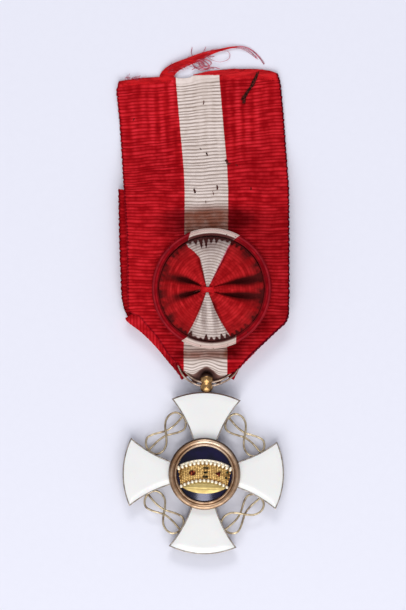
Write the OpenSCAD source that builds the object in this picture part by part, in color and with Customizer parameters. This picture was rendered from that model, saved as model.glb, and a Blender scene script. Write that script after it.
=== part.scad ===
// Officer's cross on a folded silk ribbon with a rosette, lying on its back.
// Millimetres. X runs across the ribbon, Y from the cross to the ribbon's cut end, Z up.

/* [Ribbon] */
// Thickness of the cloth as built
cloth_t = 1.0; // [0.9:0.05:1.1]
// Height of the fold at the ring, from the table to the top of the front layer
fold_h = 4.0; // [3.9:0.05:4.2]
// Lower edge of the stiffened stretch under the rosette, where the front layer starts to drop
drop_start = 17; // [16:0.5:19]
// Length over which the front layer drops to the table
drop_len = 21; // [18:0.5:24]
// Thickness of each corner that is folded in between the layers
corner_t = 0.45; // [0.35:0.05:0.5]

/* [Rosette] */
// Outer diameter of the padded rim
rosette_d = 26.4; // [26:0.1:26.6]
// Thickness of the padded rim
rim_t = 1.75; // [1.6:0.05:1.8]
// Height of the gathered petals above the ribbon
petal_h = 2.1; // [1.8:0.1:2.4]
// Number of small gathers round the petals
gathers = 48; // [44:2:52]

/* [Suspension] */
// Radius of the ring, to the middle of its two wires
ring_r = 7.26; // [7.2:0.01:7.3]
// Thickness of each of the ring's two wires
ring_wire = 0.55; // [0.5:0.01:0.56]
// Diameter of the upper ball
ball_top_d = 2.9; // [2.85:0.01:2.95]
// Diameter of the lower ball
ball_low_d = 2.8; // [2.78:0.01:2.84]

/* [Cross] */
// Turn of the cross, clockwise, in degrees
cross_turn = 1.4; // [0:0.1:2]
// Radius of the hollow sides of the arms
side_r = 26; // [25:0.1:27]
// Half-width that the arms' sides would have at the cross's centre
waist = 1.5; // [1.4:0.05:1.6]
// Width of the gold rim round the enamel
rim_w = 0.32; // [0.25:0.01:0.4]
// Thickness of the wire of the four knots
knot_wire = 0.42; // [0.36:0.01:0.46]

/* [Centre] */
// Outer diameter of the turned bezel
bezel_d = 15.76; // [15.6:0.02:15.8]
// Diameter of the opening in the bezel
opening_d = 12.2; // [12.1:0.02:12.3]
// Rise of the blue enamel from its edge to its middle
dome = 0.4; // [0.3:0.05:0.5]
// Height of the crown's relief over the enamel at its middle
crown_h = 1.0; // [0.9:0.05:1.1]

/* [Hidden] */
fit = 0.05;
eps = 0.01;
$fn = 48;

// Heights
mid_z = fold_h / 2;
plate_z = 1.3;
plate_top = 2.3;
rim_top = 2.8;
seat_z = rim_top + fit;
rest_z = fold_h + 0.1;

// Places
ring_at = [1.07, -11.17];
rosette_at = [1.95, 2.63];
cross_at = [0.385, -38.1];
ball_low_y = 19.45;
ball_top_y = 20.97;
eye_y = ball_low_y + 0.23;

// Columns of front_edges and fold_rows: place along the cloth, left edge, right edge
ROW_AT = 0;
ROW_LEFT = 1;
ROW_RIGHT = 2;

// Front layer: y, left edge, right edge
front_edges = [
    [-14.0, -5.4, 8.3],
    [-5.7, -14.7, 17.1],
    [-4.4, -16.2, 18.5],
    [-3.4, -16.45, 18.95],
    [13.4, -16.6, 19.0],
    [24.8, -17.3, 18.95],
    [39.8, -18.3, 17.9],
    [46.4, -19.0, 17.3],
    [51.2, -17.9, 16.6],
];

// Cut end of the front layer: x, y
cut_end = [[-18, 48.7], [-12, 49.3], [-7, 49.7], [-5.5, 49.2], [-2.6, 49.3],
           [-1.2, 50.2], [4, 50.9], [11, 51.2], [15, 50.7], [16.6, 50.0]];

// Bottom of the fold, which arches over the ball: x, y
fold_edge = [[-3.8, -15.7], [-2.2, -16.1], [-0.6, -15.4], [0.8, -15.1],
             [2.2, -15.5], [3.6, -16.3], [5.2, -16.4]];

// Fold through the ring: turn in degrees, left edge, right edge
fold_rows = [[0, -5.4, 8.2], [30, -5.1, 7.6], [60, -4.3, 6.2],
             [90, -3.6, 5.0], [120, -4.3, 6.0], [150, -4.7, 6.3], [180, -4.7, 6.3]];

// Back layer: outline, counter-clockwise from its cut end
back_outline = [
    [18.2, 24.6], [-18.5, 24.8], [-18.3, 13.4], [-17.8, 0.4], [-17.4, -2.0],
    [-16.8, -4.2], [-13.2, -6.9], [-9.9, -10.2], [-7.2, -13.5], [-5.1, -16.0],
    [-4.4, -17.4], [-3.2, -16.6], [-2.4, -14.9], [4.2, -14.9], [5.2, -16.6],
    [6.7, -17.4], [8.3, -14.4], [16.7, -5.8], [18.2, -3.2],
];

// Corners folded in between the layers: outlines
corner_left = [[-15.6, -4.9], [-5.9, -13.6], [-4.3, -13.2], [-4.1, -2.4]];
corner_right = [[17.0, -6.3], [8.6, -14.0], [6.6, -13.2], [6.4, -2.6]];

// Lock of loosened warp: place of its middle, half-width, half-thickness
LOCK_AT = 0;
LOCK_WIDE = 1;
LOCK_HIGH = 2;
lock_rows = [
    [[-8.3, 48.4, 0.55], 1.65, 0.40],
    [[-8.0, 49.8, 0.65], 1.60, 0.48],
    [[-6.9, 51.1, 0.75], 1.20, 0.55],
    [[-5.0, 52.0, 0.80], 0.95, 0.55],
    [[-1.7, 53.3, 0.80], 0.90, 0.50],
    [[1.0, 54.6, 0.70], 0.60, 0.42],
    [[3.4, 55.36, 0.55], 0.25, 0.25],
];

// Creases between the petals: angle, spread in degrees, depth
CREASE_ANGLE = 0;
CREASE_SPREAD = 1;
CREASE_DEPTH = 2;
creases = [
    [10.5, 3.2, 1.0], [-8.6, 3.2, 1.0], [162.5, 3.4, 0.9], [194.7, 3.4, 0.9],
    [63, 2.6, 0.45], [113, 2.6, 0.45], [242, 2.6, 0.45], [296, 2.6, 0.45],
];
// Rise of the petals: share of the radius, share of the height
petal_rise = [[0, 0.55], [0.15, 0.8], [0.45, 1.0], [0.8, 0.9], [1, 0.5]];
// Place of the stitched middle, off the rosette's centre
hub_shift = [-0.95, -0.2];
// How far the gathers at the petals' edge run in and down
gather_size = 0.35;

// Arms: name, turn in degrees, reach from the centre, extra half-width
arms = [["right", 0, 17.5, 0.2], ["top", 90, 18.0, -0.08],
        ["left", 180, 18.0, -0.15], ["bottom", 270, 17.7, 0]];
ARM_NAME = 0;
ARM_TURN = 1;
ARM_REACH = 2;
ARM_EXTRA = 3;

// One half of a knot, from its middle: along the gap, outwards, lift
knot_half = [
    [0.25, -0.3, 0.17], [-0.1, 0.15, 0.17], [-0.8, 1.05, 0.15], [-1.9, 2.0, 0],
    [-3.4, 2.35, 0], [-4.8, 1.75, 0], [-5.3, 0.3, 0], [-4.9, -1.2, 0],
    [-3.7, -2.1, 0], [-2.3, -1.8, 0], [-0.8, -1.0, -0.15], [0.6, -0.3, -0.17],
    [2.6, 0.0, 0], [5.05, -0.1, 0],
];
// Knots: turn of the gap in degrees, 1 or -1 for its hand, distance from the centre
KNOT_TURN = 0;
KNOT_HAND = 1;
KNOT_REACH = 2;
knots = [[45, 1, 12.3], [135, -1, 12.3], [225, 1, 12.25], [315, 1, 12.2]];

// Crown's arcs: height of the centre, radius
ARC_Y = 0;
ARC_R = 1;
arc_top = [-7.2, 10.3];
arc_low = [-10.3, 9.2];
arc_lip = [10.0, 14.2];
// Radius to which the crown's face rounds off left and right
crown_round = 18;

// Stones: name, place, width, facets, colour
STONE_NAME = 0;
STONE_AT = 1;
STONE_W = 2;
STONE_SIDES = 3;
STONE_COLOUR = 4;
stones = [
    ["garnet_round", [-2.6, 0.3], 1.4, 12, "darkred"],
    ["garnet_three_sided", [3.1, 0.25], 1.5, 9, "darkred"],
    ["dark_stone_1", [0.3, 1.42], 0.76, 8, "darkslategray"],
    ["dark_stone_2", [0.3, 0.46], 0.76, 8, "darkslategray"],
    ["dark_stone_3", [0.3, -0.5], 0.76, 8, "darkslategray"],
    ["green_stone_1", [5.0, 0.45], 0.6, 8, "darkgreen"],
    ["green_stone_2", [4.8, -0.75], 0.6, 8, "darkgreen"],
];
collet_w = 0.18;
girdle_h = 0.15;
crown_facet_h = 0.3;

// Smooth step from 0 to 1
function ease(t) = let (c = min(1, max(0, t))) c * c * (3 - 2 * c);

// A point on a smooth curve through p1 and p2
function curve(p0, p1, p2, p3, t) =
    0.5 * (2 * p1 + (p2 - p0) * t + (2 * p0 - 5 * p1 + 4 * p2 - p3) * t * t
           + (3 * p1 - p0 - 3 * p2 + p3) * t * t * t);

// A smooth path through a list of points, with steps points to each span
function smooth_path(pts, steps) = let (last = len(pts) - 1) [
    for (i = [0 : last - 1], k = [0 : steps - 1])
        curve(pts[max(i - 1, 0)], pts[i], pts[i + 1], pts[min(i + 2, last)], k / steps),
    pts[last]
];

// Unit vector along a path at point i
function along(path, i) =
    let (d = path[min(i + 1, len(path) - 1)] - path[max(i - 1, 0)]) d / norm(d);

// Faces of a closed skin over rows of equal length, each row a ring
function skin_faces(rows, n) = concat(
    [for (r = [0 : rows - 2], c = [0 : n - 1])
        [r * n + c, r * n + (c + 1) % n, (r + 1) * n + (c + 1) % n, (r + 1) * n + c]],
    [[for (c = [n - 1 : -1 : 0]) c], [for (c = [0 : n - 1]) (rows - 1) * n + c]]
);

// A round or oval tube along a path; wide and high are lists of half-sizes
module tube(path, wide, high, sides) {
    points = [for (i = [0 : len(path) - 1], k = [0 : sides - 1])
        let (t = along(path, i), s = cross(t, [0, 0, 1]), side = s / norm(s),
             up = cross(side, t), a = 360 * k / sides)
        path[i] + wide[i] * cos(a) * side + high[i] * sin(a) * up];
    polyhedron(points, skin_faces(len(path), sides), convexity = 6);
}

// Underside of the front layer at y
function front_z(y) = (fold_h - cloth_t) * (1 - ease((y - drop_start) / drop_len));

// Share by which a row near the cut end follows the cut's own line
function cut_share(y) = ease((y - 44) / 7.2);

// Rows of the front layer from the cut end down, then round the fold.
// Each point of a row has an upper and a lower place on the cloth.
front_y = [51.2, 50.2, 48.6, 46.4, 43.5, 40.5, 37.5, 34.5, 31.5, 28.5, 25.5, 22.5, 19.5,
           16.5, 10, 3, -2, -3.3, -4.5, -5.7, -8.5, -11.3];
columns = 14;
function edge(table, at, column) = lookup(at, [for (row = table) [row[ROW_AT], row[column]]]);
function across(table, at, c) =
    let (l = edge(table, at, ROW_LEFT), r = edge(table, at, ROW_RIGHT)) l + (r - l) * c / columns;
function front_row(y, side) = [
    for (c = [0 : columns])
        let (x = across(front_edges, y, c),
             cut_y = y - (front_y[0] - lookup(x, cut_end)) * cut_share(y),
             slope = front_z(y + 0.5) - front_z(y - 0.5),
             n = [0, -slope, 1] / norm([0, -slope, 1]))
        [x, cut_y, front_z(y) + cloth_t / 2] + side * cloth_t / 2 * n
];
function fold_row(turn, side) = [
    for (c = [0 : columns])
        let (x = across(fold_rows, turn, c),
             t = cloth_t * (1 - 0.2 * ease((turn - 100) / 50)),
             reach = mid_z - cloth_t / 2 + side * t / 2)
        [x, lookup(x, fold_edge) + mid_z - reach * sin(turn), mid_z + reach * cos(turn)]
];
fold_turns = [for (a = [0 : 22.5 : 180]) a];

// A ring of points round one row of the cloth: over the top, then back underneath
function cloth_ring(top, low) = concat(top, [for (i = [len(low) - 1 : -1 : 0]) low[i]]);

module front_and_fold() {
    rows = concat([for (y = front_y) cloth_ring(front_row(y, 1), front_row(y, -1))],
                  [for (a = fold_turns) cloth_ring(fold_row(a, 1), fold_row(a, -1))],
                  [[for (p = cloth_ring(fold_row(180, 1), fold_row(180, -1))) p + [0, 0.8, 0]]]);
    n = 2 * (columns + 1);
    points = [for (r = rows, p = r) p];
    sides = [for (r = [0 : len(rows) - 2], c = [0 : n - 1])
        let (a = r * n + c, b = r * n + (c + 1) % n, d = a + n, e = b + n)
        each [[a, b, d], [b, e, d]]];
    caps = [for (c = [0 : columns - 1])
        let (a = c, b = c + 1, d = n - 1 - c, e = n - 2 - c, last = (len(rows) - 1) * n)
        each [[a, d, b], [b, d, e], [last + a, last + b, last + d], [last + b, last + e, last + d]]];
    polyhedron(points, concat(sides, caps), convexity = 6);
}

module prism(outline, z0, z1) {
    translate([0, 0, z0])
        linear_extrude(z1 - z0)
            polygon(outline);
}

module fray_lock() {
    tube([for (r = lock_rows) r[LOCK_AT]], [for (r = lock_rows) r[LOCK_WIDE]],
         [for (r = lock_rows) r[LOCK_HIGH]], 8);
}

// One folded strip: front layer, fold through the ring, back layer, corners turned in between
module ribbon() {
    low = fold_h - cloth_t;
    color("firebrick") {
        front_and_fold();
        fray_lock();
        difference() {
            prism(back_outline, 0, cloth_t);
            translate([cross_at.x + 0.4, cross_at.y + ball_top_y, -1])
                cylinder(r = 1.75, h = 3);
        }
        for (outline = [corner_left, corner_right]) {
            prism(outline, low - corner_t, low + 0.2);
            prism(outline, cloth_t - 0.2, cloth_t + corner_t);
        }
    }
}

module rosette_rim() {
    color("firebrick")
        translate([rosette_at.x, rosette_at.y, rest_z + rim_t / 2])
            rotate_extrude()
                translate([(rosette_d - rim_t) / 2, 0])
                    circle(d = rim_t);
}

// Gathered disc: a height for each angle and share of the radius
petal_steps = 3 * gathers;
petal_rings = 8;
function total(v) = v * [for (x = v) 1];
function turn_between(a, b) = ((a - b) % 360 + 540) % 360 - 180;
function gather(a, s) = gather_size * (0.5 + 0.5 * cos(gathers * a)) * ease((s - 0.75) / 0.25);
function crease(a, s) = sin(150 * s + 15) * total([
    for (c = creases)
        c[CREASE_DEPTH] * exp(-pow(turn_between(a, c[CREASE_ANGLE]) / c[CREASE_SPREAD], 2))
]);
function petal_point(a, s) =
    let (r = (rosette_d / 2 - rim_t - 0.25 - gather(a, s)) * s,
         z = petal_h * lookup(s, petal_rise) - crease(a, s) - gather(a, s))
    [hub_shift.x * (1 - s) + r * cos(a), hub_shift.y * (1 - s) + r * sin(a), max(0.45, z)];

module rosette_petals() {
    n = petal_steps;
    rim_point = function (i) petal_point(360 * i / n, 1);
    points = concat(
        [for (k = [1 : petal_rings], i = [0 : n - 1]) petal_point(360 * i / n, k / petal_rings)],
        [for (i = [0 : n - 1]) [rim_point(i).x, rim_point(i).y, 0]],
        [[hub_shift.x, hub_shift.y, petal_h * lookup(0, petal_rise)], [hub_shift.x, hub_shift.y, 0]]
    );
    hub = (petal_rings + 1) * n;
    faces = concat(
        [for (k = [0 : petal_rings - 1], i = [0 : n - 1])
            let (a = k * n + i, b = k * n + (i + 1) % n) each [[a, b, a + n], [b, b + n, a + n]]],
        [for (i = [0 : n - 1]) [hub, (i + 1) % n, i]],
        [for (i = [0 : n - 1]) [hub + 1, hub - n + i, hub - n + (i + 1) % n]]
    );
    color("firebrick")
        translate([rosette_at.x, rosette_at.y, rest_z])
            polyhedron(points, faces, convexity = 6);
}

// Two turns of wire side by side
module suspension_ring() {
    color("darkgoldenrod")
        translate([ring_at.x, ring_at.y, mid_z])
            for (side = [-1, 1])
                rotate_extrude()
                    translate([ring_r + side * (ring_wire - 0.07) / 2, 0])
                        circle(d = ring_wire);
}

module on_cross() {
    translate([cross_at.x, cross_at.y, 0])
        rotate(-cross_turn)
            children();
}

// Outline of arm i along +X, with its edge set in by inset
module arm_outline(i, inset) {
    reach = arms[i][ARM_REACH];
    difference() {
        intersection() {
            circle(r = reach - inset, $fn = 96);
            translate([0, -reach])
                square([reach, 2 * reach]);
        }
        for (side = [-1, 1])
            translate([-0.5, side * (side_r + waist + arms[i][ARM_EXTRA])])
                circle(r = side_r + inset, $fn = 96);
    }
}

module arm(i) {
    rotate(arms[i][ARM_TURN])
        translate([0, 0, plate_z])
            linear_extrude(rim_top - plate_z)
                arm_outline(i, 0);
}

module enamel_bed(i) {
    rotate(arms[i][ARM_TURN])
        translate([0, 0, plate_top])
            linear_extrude(1)
                difference() {
                    arm_outline(i, rim_w);
                    circle(d = bezel_d + 0.1, $fn = 96);
                }
}

module knot(k) {
    path = smooth_path([for (p = knot_half) [k[KNOT_HAND] * p.x, p.y, p.z]], 3);
    half_sizes = [for (p = path) knot_wire / 2];
    rotate(k[KNOT_TURN])
        translate([k[KNOT_REACH], 0, mid_z])
            rotate(-90)
                for (turn = [0, 180])
                    rotate(turn)
                        tube(path, half_sizes, half_sizes, 6);
}

// Gold body of the cross: four trays, hub, plain reverse, two balls with the ring's eye, knots
module cross_frame() {
    color("goldenrod")
        on_cross() {
            difference() {
                union() {
                    for (i = [0 : 3])
                        arm(i);
                    translate([0, 0, plate_z])
                        cylinder(d = bezel_d, h = rim_top - plate_z);
                    cylinder(d = bezel_d - 1.2, h = plate_z + eps);
                    translate([0, 17.5, mid_z])
                        rotate([-90, 0, 0])
                            cylinder(d = 1.24, h = 1.1);
                    translate([0, ball_low_y, mid_z])
                        rotate([90, 0, 0])
                            rotate(80)
                                sphere(d = ball_low_d);
                    translate([0, ball_top_y, mid_z])
                        rotate([90, 0, 0])
                            rotate(80)
                                sphere(d = ball_top_d);
                }
                for (i = [0 : 3])
                    enamel_bed(i);
                translate([-3, eye_y, mid_z])
                    rotate([0, 90, 0])
                        cylinder(d = 1.4, h = 6);
            }
            for (k = knots)
                knot(k);
        }
}

// White enamel of one arm, gently domed across the arm
module enamel(i) {
    arm_dome_r = 90;
    color("whitesmoke")
        on_cross()
            rotate(arms[i][ARM_TURN])
                intersection() {
                    translate([0, 0, plate_top + fit])
                        linear_extrude(1)
                            difference() {
                                arm_outline(i, rim_w + fit);
                                circle(d = bezel_d + 0.2, $fn = 96);
                            }
                    translate([0, 0, rim_top + 0.3 - arm_dome_r])
                        rotate([0, 90, 0])
                            cylinder(r = arm_dome_r, h = 20, $fn = 1440);
                }
}

// Turned ring: a plain wall, a fat rounded band, a groove and a thin inner band
module bezel() {
    wall = bezel_d / 2;
    hole = opening_d / 2;
    color("rosybrown")
        on_cross()
            translate([0, 0, seat_z]) {
                rotate_extrude()
                    polygon([[hole, 0], [wall, 0], [wall, 0.95], [wall - 0.6, 1.3],
                             [wall - 1.1, 1.1], [hole + 0.35, 1.1], [hole, 0.75]]);
                rotate_extrude()
                    translate([wall - 0.62, 1.0])
                        circle(r = 0.58);
                rotate_extrude()
                    translate([hole + 0.33, 1.05])
                        circle(r = 0.26);
            }
}

dome_r = (pow(opening_d / 2, 2) + dome * dome) / (2 * dome);
enamel_edge = 0.35;
enamel_top = seat_z + enamel_edge + dome;

module medallion() {
    color("navy")
        on_cross()
            rotate_extrude()
                intersection() {
                    translate([0, seat_z])
                        square([opening_d / 2 - fit, 2]);
                    translate([0, enamel_top - dome_r])
                        circle(r = dome_r, $fn = 1440);
                }
}

// Height of the crown's face at x, as it rounds off to both sides
function crown_z(x) =
    enamel_top + crown_h - crown_round + sqrt(crown_round * crown_round - x * x);

module arc_disc(arc) {
    translate([0, arc[ARC_Y]])
        circle(r = arc[ARC_R], $fn = 96);
}

module crown_band() {
    difference() {
        intersection() {
            arc_disc(arc_top);
            polygon([[-5.7, 4], [-5.0, -3.2], [5.0, -3.2], [5.7, 4]]);
        }
        arc_disc(arc_low);
    }
}

module crown_lip() {
    intersection() {
        arc_disc([arc_low[ARC_Y], arc_low[ARC_R] + fit]);
        arc_disc(arc_lip);
        translate([-4.8, -5])
            square([9.6, 5]);
    }
}

// A row of round grains along an arc that is offset from one of the crown's arcs
module grain_row(arc, offset, count, step, r) {
    for (i = [0 : count - 1]) {
        a = 90 + (i - (count - 1) / 2) * step;
        x = (arc[ARC_R] + offset) * cos(a);
        translate([x, arc[ARC_Y] + (arc[ARC_R] + offset) * sin(a), crown_z(x) - 0.05])
            sphere(r = r, $fn = 24);
    }
}

// Round places for the stones, from below the crown's face upwards
module stone_places(extra, below, h) {
    for (s = stones)
        translate([s[STONE_AT].x, s[STONE_AT].y, crown_z(s[STONE_AT].x) - below])
            cylinder(d = s[STONE_W] + extra, h = h, $fn = 24);
}

module crown() {
    color("gold")
        on_cross()
            difference() {
                intersection() {
                    union() {
                        intersection() {
                            translate([0, 0, seat_z])
                                linear_extrude(4)
                                    crown_band();
                            translate([0, -6, crown_z(0) - crown_round])
                                rotate([-90, 0, 0])
                                    cylinder(r = crown_round, h = 12, $fn = 720);
                        }
                        translate([0, 0, seat_z])
                            linear_extrude(crown_z(0) - 0.45 - seat_z)
                                crown_lip();
                        grain_row(arc_top, -0.3, 14, 4.5, 0.36);
                        grain_row(arc_low, 0.15, 13, 4.9, 0.33);
                        stone_places(2 * collet_w, 0.4, 0.5);
                    }
                    cylinder(d = opening_d - 0.3, h = 10);
                }
                rotate_extrude()
                    intersection() {
                        square([opening_d, enamel_top + 1]);
                        translate([0, enamel_top - dome_r])
                            circle(r = dome_r + fit, $fn = 1440);
                    }
                stone_places(2 * fit, girdle_h + fit, 2);
            }
}

// Cut stone: girdle, bevelled facets and a flat table
module stone(s) {
    color(s[STONE_COLOUR])
        on_cross()
            translate([s[STONE_AT].x, s[STONE_AT].y, crown_z(s[STONE_AT].x) - girdle_h]) {
                cylinder(d = s[STONE_W], h = girdle_h, $fn = s[STONE_SIDES]);
                translate([0, 0, girdle_h])
                    cylinder(d1 = s[STONE_W], d2 = 0.6 * s[STONE_W], h = crown_facet_h,
                             $fn = s[STONE_SIDES]);
            }
}

ribbon();
rosette_rim();
rosette_petals();
suspension_ring();
cross_frame();
for (i = [0 : 3])
    enamel(i);
bezel();
medallion();
crown();
for (s = stones)
    stone(s);
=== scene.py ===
import math
import random

import bpy
import numpy as np
from mathutils import Matrix, Vector


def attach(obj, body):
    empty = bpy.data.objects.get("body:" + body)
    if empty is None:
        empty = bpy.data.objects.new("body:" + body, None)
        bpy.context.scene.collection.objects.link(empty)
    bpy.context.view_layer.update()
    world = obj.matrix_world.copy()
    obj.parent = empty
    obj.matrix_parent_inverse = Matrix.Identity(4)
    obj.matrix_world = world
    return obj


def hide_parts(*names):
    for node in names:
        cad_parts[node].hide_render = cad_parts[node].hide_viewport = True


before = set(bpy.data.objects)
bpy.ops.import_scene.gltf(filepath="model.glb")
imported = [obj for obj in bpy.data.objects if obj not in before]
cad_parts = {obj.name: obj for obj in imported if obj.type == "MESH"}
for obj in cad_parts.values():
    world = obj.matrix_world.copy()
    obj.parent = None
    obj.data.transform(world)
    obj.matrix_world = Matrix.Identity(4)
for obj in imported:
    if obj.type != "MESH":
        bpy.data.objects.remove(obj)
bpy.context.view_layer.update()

MM = 0.001

# Camera, table and daylight
# The cross lies flat on a pale lavender grey table and is seen straight from above.
# The light is soft and comes mostly from the side of the cross's lower arm.
CAMERA_HIGH = 0.9
VIEW_LONG = 0.1342
bpy.ops.object.select_all(action="DESELECT")
bpy.ops.object.camera_add(location=(0.00008, -0.00094, CAMERA_HIGH + 3 * MM), rotation=(0, 0, 0))
camera = bpy.context.object
camera.data.lens = camera.data.sensor_width * CAMERA_HIGH / VIEW_LONG
camera.data.clip_start = 0.01
bpy.context.scene.camera = camera
bpy.context.scene.view_settings.view_transform = "Standard"


def add_window(name, turn, rise, away, wide, high, brightness):
    """A soft light that faces the cross: its direction on the table and above it in degrees,
    its distance and size in metres, and the light that it gives a flat sheet on the table."""
    across = away * math.cos(math.radians(rise))
    place = Vector((across * math.cos(math.radians(turn)), across * math.sin(math.radians(turn)),
                    away * math.sin(math.radians(rise))))
    bpy.ops.object.light_add(type="AREA", location=place)
    window = bpy.context.object
    window.name = name
    window.rotation_euler = place.to_track_quat("Z", "Y").to_euler()
    window.data.shape = "RECTANGLE"
    window.data.size = wide
    window.data.size_y = high
    window.data.energy = brightness * (math.pi * away) ** 2 / math.sin(math.radians(rise))


add_window("window_low", -90, 38, 0.80, 0.90, 0.42, 0.40)
add_window("window_far", 93, 40, 0.90, 0.45, 0.25, 0.20)
add_window("lamp_high", -91.5, 67, 1.20, 0.15, 0.45, 0.14)

sky = bpy.data.worlds.new("room_light")
bpy.context.scene.world = sky
sky.use_nodes = True
sky.node_tree.nodes["Background"].inputs["Color"].default_value = (0.86, 0.88, 1.0, 1)
sky.node_tree.nodes["Background"].inputs["Strength"].default_value = 0.46


def add_node(tree, kind, inputs=None, **settings):
    node = tree.nodes.new("ShaderNode" + kind)
    for name, value in settings.items():
        setattr(node, name, value)
    for name, value in (inputs or {}).items():
        socket = node.inputs[name]
        if isinstance(value, bpy.types.NodeSocket):
            tree.links.new(value, socket)
        else:
            socket.default_value = value
    return node


def maths(tree, operation, *values, clamp=False):
    node = add_node(tree, "Math", dict(enumerate(values)), operation=operation, use_clamp=clamp)
    return node.outputs[0]


def times(tree, *values, clamp=False):
    return maths(tree, "MULTIPLY", *values, clamp=clamp)


def plus(tree, *values, clamp=False):
    return maths(tree, "ADD", *values, clamp=clamp)


def colour_mix(tree, share, first, second, how="MIX"):
    node = add_node(tree, "Mix", data_type="RGBA", blend_type=how)
    for place, value in ((0, share), (6, first), (7, second)):
        if isinstance(value, bpy.types.NodeSocket):
            tree.links.new(value, node.inputs[place])
        else:
            node.inputs[place].default_value = value
    return node.outputs[2]


def eased_share(tree, value, low, high, first=0.0, last=1.0):
    """first below low, last above high, and a smooth step between."""
    node = add_node(tree, "MapRange", {"Value": value, "From Min": low, "From Max": high,
                                       "To Min": first, "To Max": last},
                    interpolation_type="SMOOTHSTEP")
    return node.outputs["Result"]


def noise(tree, where, scale, detail=2.0, roughness=0.5, **settings):
    node = add_node(tree, "TexNoise", {"Vector": where, "Scale": scale, "Detail": detail,
                                       "Roughness": roughness}, **settings)
    return node.outputs["Fac"]


def new_material(name, **constants):
    """A material with its shader, and the node tree to build its pattern in."""
    made = bpy.data.materials.new(name)
    made.use_nodes = True
    shader = made.node_tree.nodes["Principled BSDF"]
    for key, value in constants.items():
        shader.inputs[key.replace("_", " ")].default_value = value
    return made, made.node_tree, shader


def feed(tree, shader, colour=None, roughness=None, height=None, strength=1.0, distance=0.05 * MM):
    if colour is not None:
        tree.links.new(colour, shader.inputs["Base Color"])
    if roughness is not None:
        tree.links.new(roughness, shader.inputs["Roughness"])
    if height is not None:
        bump = add_node(tree, "Bump", {"Strength": strength, "Distance": distance,
                                       "Height": height})
        tree.links.new(bump.outputs["Normal"], shader.inputs["Normal"])


def stretch(tree, where, scale, turned=0.0):
    """A pattern's place, scaled along each axis and turned."""
    return add_node(tree, "Mapping", {"Vector": where, "Scale": scale,
                                      "Rotation": (0, 0, turned)}).outputs["Vector"]


def object_place(tree):
    """The place on the piece, in millimetres."""
    return stretch(tree, add_node(tree, "TexCoord").outputs["Object"], (1000, 1000, 1000))


table_paint, tree, shader = new_material("table_paint", Roughness=0.75)
grain = noise(tree, object_place(tree), 0.6, 4)
feed(tree, shader, colour_mix(tree, grain, (0.79, 0.79, 0.86, 1), (0.81, 0.81, 0.88, 1)),
     height=grain, distance=0.02 * MM)
bpy.ops.mesh.primitive_plane_add(size=3.0, location=(0, 0, -0.02 * MM))
table = bpy.context.object
table.name = "table"
table.data.materials.append(table_paint)

# Ribbon
# One strip of ribbed silk, crimson with a white middle stripe. It runs down the front, is
# folded through the ring and comes back up behind, where its cut end peeks out on the left.
RIB = 0.72
ROWS_PER_RIB = 5
SILK = 0.32
RIBBON_HALF = 18
STRIPE_HALF = 4.77
LOOP_R = 1.94
LOOP_Z = 2.0
BALL_X = 0.89
BARE_WARP = 1.7
FRONT_TOP = 50.1
FOLD_Y = -13.9
BACK_END = 24.7
CRIMSON = (0.63, 0.014, 0.019, 1)
# The shaded crimson and the white valley colour are painted shade, for the valleys between the ribs.
SHADED_CRIMSON = (0.20, 0.0008, 0.003, 1)
# A painted sheen colour for the crests of the crimson ribs.
SHEEN_HIGHLIGHT = (0.78, 0.035, 0.055, 1)
OFF_WHITE = (0.82, 0.70, 0.635, 1)
WHITE_VALLEY_SHADE = (0.16, 0.10, 0.07, 1)
# The stain colours darken the silk both for real dirt and for painted shadow round the rosette.
WHITE_STAIN_AND_SHADE = (0.29, 0.115, 0.08, 1)
RED_STAIN_AND_SHADE = (0.27, 0.27, 0.29, 1)
FOLD_SHADE_AND_DIRT = (0.20, 0.10, 0.08, 1)
DEEP_IN_FOLD = (0.095, 0.045, 0.038, 1)

# Edges of the silk: y, x
front_left = [(-14.4, -5.4), (-11.3, -7.9), (-8.2, -9.8), (-6.5, -11.2), (-4.6, -12.9),
              (-3.4, -13.8), (-2.95, -14.6), (-2.6, -16.0), (-2.1, -16.45), (13.4, -16.6),
              (24.8, -17.3), (39.8, -18.3), (46.4, -19.0), (48.6, -18.4), (51.2, -17.9)]
front_right = [(-14.4, 8.0), (-14.0, 8.3), (-5.7, 17.1), (-4.6, 18.4), (-3.5, 18.95), (-2.8, 19.0),
               (13.4, 19.0), (24.8, 18.95), (39.8, 17.9), (46.4, 17.3), (51.2, 16.6)]
back_left = [(-13.9, -4.7), (-12.5, -6.5), (-10.2, -9.4), (-6.9, -12.7), (-4.2, -16.0),
             (-2.0, -17.3), (0.4, -17.8), (13.4, -18.3), (24.7, -18.5)]
back_right = [(-13.9, 6.3), (-12.5, 8.4), (-10.2, 11.2), (-6.9, 14.6), (-4.2, 17.2),
              (-2.0, 18.0), (24.7, 18.2)]
stripe_middle = [(-16.0, 0.63), (-10.8, 0.63), (15.8, 0.80), (24.6, 0.85), (29.65, 0.6),
                 (37.6, -0.14), (49.7, -1.18)]
# Edges of the fold: turn in degrees, left, right
fold_sides = [(0, -5.4, 8.2), (30, -5.1, 7.6), (60, -4.3, 6.2), (90, -3.6, 5.0),
              (120, -4.3, 6.0), (150, -4.7, 6.3), (180, -4.7, 6.3)]
# Lowest line of the fold, which arches over the ball: x, y
fold_edge = [(-3.8, -15.7), (-2.2, -16.1), (-0.6, -15.4), (0.8, -15.1), (2.2, -15.5),
             (3.6, -16.3), (5.2, -16.4)]
# How far the cut end runs off a straight cut: x, y
cut_off = [(-18, -0.05), (-12, 0.07), (-7, 0.07), (-5.5, -0.55), (-2.6, -0.6), (-1.2, 0.1),
           (4, 0.35), (11, 0.13), (15, -0.69), (16.6, -1.5)]


def ease(t):
    t = np.clip(t, 0, 1)
    return t * t * (3 - 2 * t)


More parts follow.
